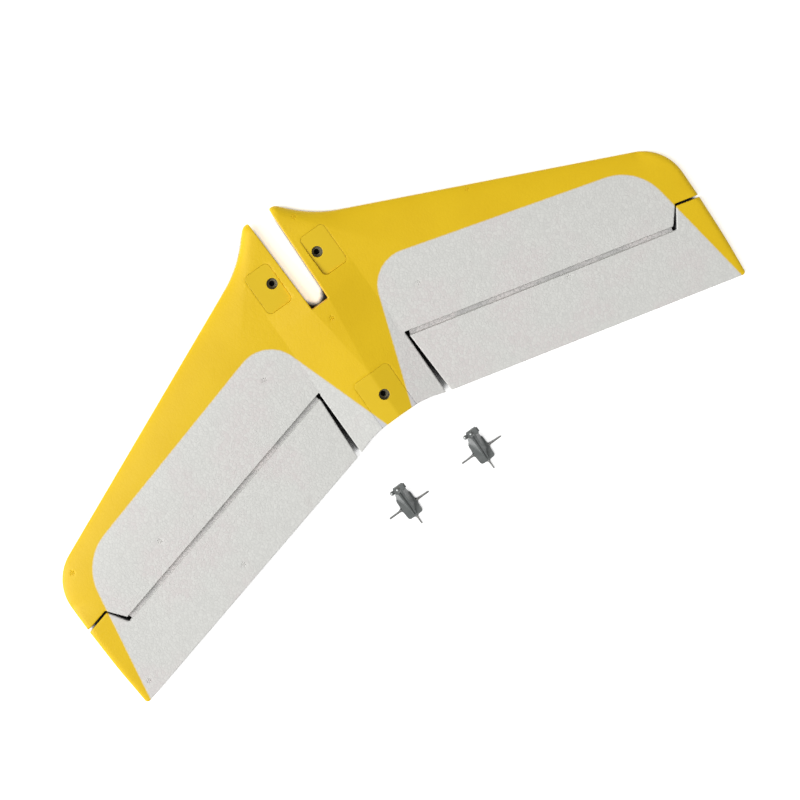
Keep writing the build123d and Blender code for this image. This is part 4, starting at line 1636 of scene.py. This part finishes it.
    def ball_stud(self, place: Vector) -> bpy.types.Object:
        """Ball, waisted neck, hexagonal collar and threaded shank in one bright piece.

        The profile is a circle's arc, a neck, and a shank whose radius ripples as a fine thread.
        """
        neck = math.sqrt(self.ball_radius**2 - self.stud_radius**2)
        turn = np.linspace(math.pi, math.asin(self.stud_radius / self.ball_radius), 26)
        along = -self.ball_offset + self.ball_radius * np.cos(turn)
        ball = np.column_stack([self.ball_radius * np.sin(turn), along])
        ball[0, 0] = 0.0
        end = self.head_x[1] + self.nut[1]
        shank = np.linspace(-self.ball_offset + neck, end - 0.15, 120)[1:]
        crest = 1.0 - np.abs(2.0 * ((shank / self.thread_pitch) % 1.0) - 1.0)
        cut = np.where(shank > self.head_x[1], self.thread_depth, 0.0) * crest
        stem = np.column_stack([self.stud_radius - cut, shank])
        tail = np.array([[self.stud_radius - 0.15, end], [0.0, end]])
        node = f"{self.word}_horn_ball_stud"
        profile = np.vstack([ball, stem, tail])
        piece = spun(f"metal_{node}", profile, place, "X", 40, closed=False)
        places, faces = self.hexagon(self.collar, self.head_x[0] - self.collar[1], place)
        grid = bmesh.new()
        grid.from_mesh(piece.data)
        corners = [grid.verts.new(point) for point in (places / METRE).tolist()]
        for face in faces:
            grid.faces.new([corners[i] for i in face])
        bmesh.ops.recalc_face_normals(grid, faces=grid.faces)
        grid.to_mesh(piece.data)
        grid.free()
        piece.data.polygons.foreach_set("use_smooth", np.ones(len(piece.data.polygons), dtype=bool))
        piece.data.set_sharp_from_angle(angle=math.radians(30.0))
        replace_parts(piece, node)
        return piece

    def lock_nut(self, place: Vector) -> bpy.types.Object:
        """Hexagonal nut that holds the stud in the head."""
        node = f"{self.word}_horn_nut"
        places, faces = self.hexagon(self.nut, self.head_x[1], place)
        piece = new_object(f"metal_{node}", places, faces, 30.0)
        mend(piece, 30.0)
        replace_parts(piece, node)
        return piece

    def clamp_screw(self, place: Vector) -> bpy.types.Object:
        """Domed screw on top of the head, a sphere's cap with a rounded rim over a short shank.

        The sphere's radius is (rim radius squared + height squared) / (2 * height).
        """
        radius, height = self.clamp_head
        shank, depth = self.clamp_shank
        ball = (radius**2 + height**2) / (2.0 * height)
        turn = np.linspace(math.asin(radius / ball), 0.0, 16)
        cap = np.column_stack([ball * np.sin(turn), height - ball + ball * np.cos(turn)])
        cap[:, 1] = np.maximum(cap[:, 1], 0.0)
        stem = [[0.0, -depth], [shank - 0.1, -depth], [shank, 0.1 - depth], [shank, 0.0]]
        start = np.array([*stem, [radius - 0.08, 0.0]])
        node = f"{self.word}_horn_clamp_screw"
        seat = place + Vector((self.clamp_x, 0.0, self.head_rise))
        piece = spun(f"metal_{node}", np.vstack([start, cap]), seat, "Z", 40, closed=False)
        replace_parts(piece, node)
        return piece

    def build(self) -> list[bpy.types.Object]:
        """Makes the horn's six pieces and lets them ride on its body."""
        middle = self.place()
        eye = middle + Vector((0.0, self.eye_y, self.eye_z))
        half, radius = self.cross[0] / 2, self.cross[1]
        cross_start = middle + Vector((-half, 0.0, self.wire_z))
        tail_start = middle + Vector((0.0, -self.tail_start - self.tail[0], self.wire_z))
        made = {
            self.body(): Finish.HORN_NYLON,
            self.wire("cross_rod", cross_start, self.cross[0], radius, "X"): Finish.STEEL_WIRE,
            self.wire("tail_rod", tail_start, self.tail[0], self.tail[1], "Y"): Finish.STEEL_WIRE,
            self.ball_stud(eye): Finish.BRIGHT_METAL,
            self.lock_nut(eye): Finish.BRIGHT_METAL,
            self.clamp_screw(eye): Finish.BRIGHT_METAL,
        }
        for piece, finish in made.items():
            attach(piece, f"{self.word}_horn")
            self.paint.dress(piece, finish)
        return list(made)


# ---------------------------------------------------------------- stage, light and camera


@dataclass
class Studio:
    """Pale floor, even sky, a large soft key light, a small sheen light and a camera high above."""

    camera_place: tuple[float, float, float] = (-25.7, 92.2, 893.1)
    camera_target: tuple[float, float, float] = (5.6, -32.6, 5.0)
    up_heading: float = 35.11
    lens: float = 69.75
    floor_half: float = 6.0
    floor_z: float = -0.05
    shade_reach: float = 0.007
    shade_share: tuple[float, float] = (0.46, 0.62)
    floor_colour: tuple[float, float, float, float] = (0.93, 0.93, 0.93, 1.0)
    floor_shade: tuple[float, float, float, float] = (0.02, 0.02, 0.02, 1.0)
    floor_glow: float = 0.55
    sky: float = 0.32
    key: tuple[float, float] = (315.0, 3.6)
    key_place: tuple[float, float, float] = (-4.8, 1.4, 3.55)
    sheen: tuple[float, float] = (11.0, 0.5)
    sheen_place: tuple[float, float, float] = (-0.8, 0.2, 2.0)

    def floor(self) -> None:
        """A wide pale floor just under the object, dark where little of the sky reaches it."""
        half = self.floor_half * METRE
        square = ((-half, -half), (half, -half), (half, half), (-half, half))
        places = np.array([(x, y, self.floor_z) for x, y in square])
        floor = new_object("floor", places, [[0, 1, 2, 3]])
        material = bpy.data.materials.new("pale_floor")
        material.use_nodes = True
        wire = Wiring(material.node_tree)
        shader = material.node_tree.nodes["Principled BSDF"]
        reach = {"Distance": self.shade_reach}
        open_sky = wire.node("AmbientOcclusion", reach, samples=16, only_local=False).outputs["AO"]
        lit = wire.ramp(open_sky, *self.shade_share)
        wire.tree.links.new(wire.blend(lit, self.floor_shade, self.floor_colour), shader.inputs["Base Color"])
        wire.tree.links.new(wire.share(lit, self.floor_glow), shader.inputs["Emission Strength"])
        shader.inputs["Emission Color"].default_value = (1.0, 1.0, 1.0, 1.0)
        shader.inputs["Roughness"].default_value = 0.9
        shader.inputs["Specular IOR Level"].default_value = 0.1
        floor.data.materials.append(material)

    def sky_light(self) -> None:
        """An even pale sky."""
        world = bpy.data.worlds.new("studio")
        world.use_nodes = True
        background = world.node_tree.nodes["Background"]
        background.inputs["Color"].default_value = (1.0, 1.0, 1.0, 1.0)
        background.inputs["Strength"].default_value = self.sky
        bpy.context.scene.world = world
        bpy.context.scene.view_settings.view_transform = "Standard"

    def lamp(self, name: str, place: Sequence[float], power: float, size: float) -> None:
        """A square area light that faces the object.

        Args:
            name: Name of the light.
            place: Where it hangs, in metres.
            power: Its power in watts.
            size: Its side, in metres.
        """
        data = bpy.data.lights.new(name, "AREA")
        data.shape = "SQUARE"
        data.size = size
        data.energy = power
        lamp = bpy.data.objects.new(name, data)
        lamp.location = place
        lamp.rotation_mode = "QUATERNION"
        lamp.rotation_quaternion = (-Vector(place)).to_track_quat("-Z", "Y")
        bpy.context.scene.collection.objects.link(lamp)

    def camera(self) -> None:
        """The camera, turned so that a compass heading points up in its frame."""
        data = bpy.data.cameras.new("camera")
        data.lens = self.lens
        data.sensor_width = 36.0
        data.clip_end = 100.0
        camera = bpy.data.objects.new("camera", data)
        place, target = Vector(self.camera_place) / METRE, Vector(self.camera_target) / METRE
        back = (place - target).normalized()
        heading = math.radians(self.up_heading)
        up = Vector((math.sin(heading), math.cos(heading), 0.0))
        right = up.cross(back).normalized()
        up = back.cross(right)
        turn = Matrix((right, up, back)).transposed()
        camera.matrix_world = Matrix.Translation(place) @ turn.to_4x4()
        bpy.context.scene.collection.objects.link(camera)
        bpy.context.scene.camera = camera

    def build(self) -> None:
        """Sets the stage."""
        self.floor()
        self.sky_light()
        self.lamp("key", self.key_place, *self.key)
        self.lamp("sheen", self.sheen_place, *self.sheen)
        self.camera()


def driving_planform() -> Planform:
    """Planform whose nose and width come from the frame."""
    low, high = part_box("fixed_panel")
    web_low, web_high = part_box("right_hinge_web")
    half_span = max(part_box("right_elevator")[1].x, high.x) * METRE
    return Planform(
        nose_y=high.y * METRE,
        tip_x=half_span,
        mid_z=(web_low.z + web_high.z) / 2 * METRE,
        seat_z=low.z * METRE,
    )


def main() -> None:
    """Builds the studio, the tailplane and the two horns, and reports each piece."""
    logging.basicConfig(level=logging.INFO, format="%(name)s: %(message)s")
    Studio().build()
    paint = Paintbox()
    pieces = Tailplane(driving_planform(), paint).build()
    for word in ("left", "right"):
        pieces += ControlHorn(word, paint).build()
    for piece in pieces:
        faces, node = len(piece.data.polygons), list(piece["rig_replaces"])
        log.info("%s: %d faces, replaces %s", piece.name, faces, node)


if __name__ == "__main__":
    main()
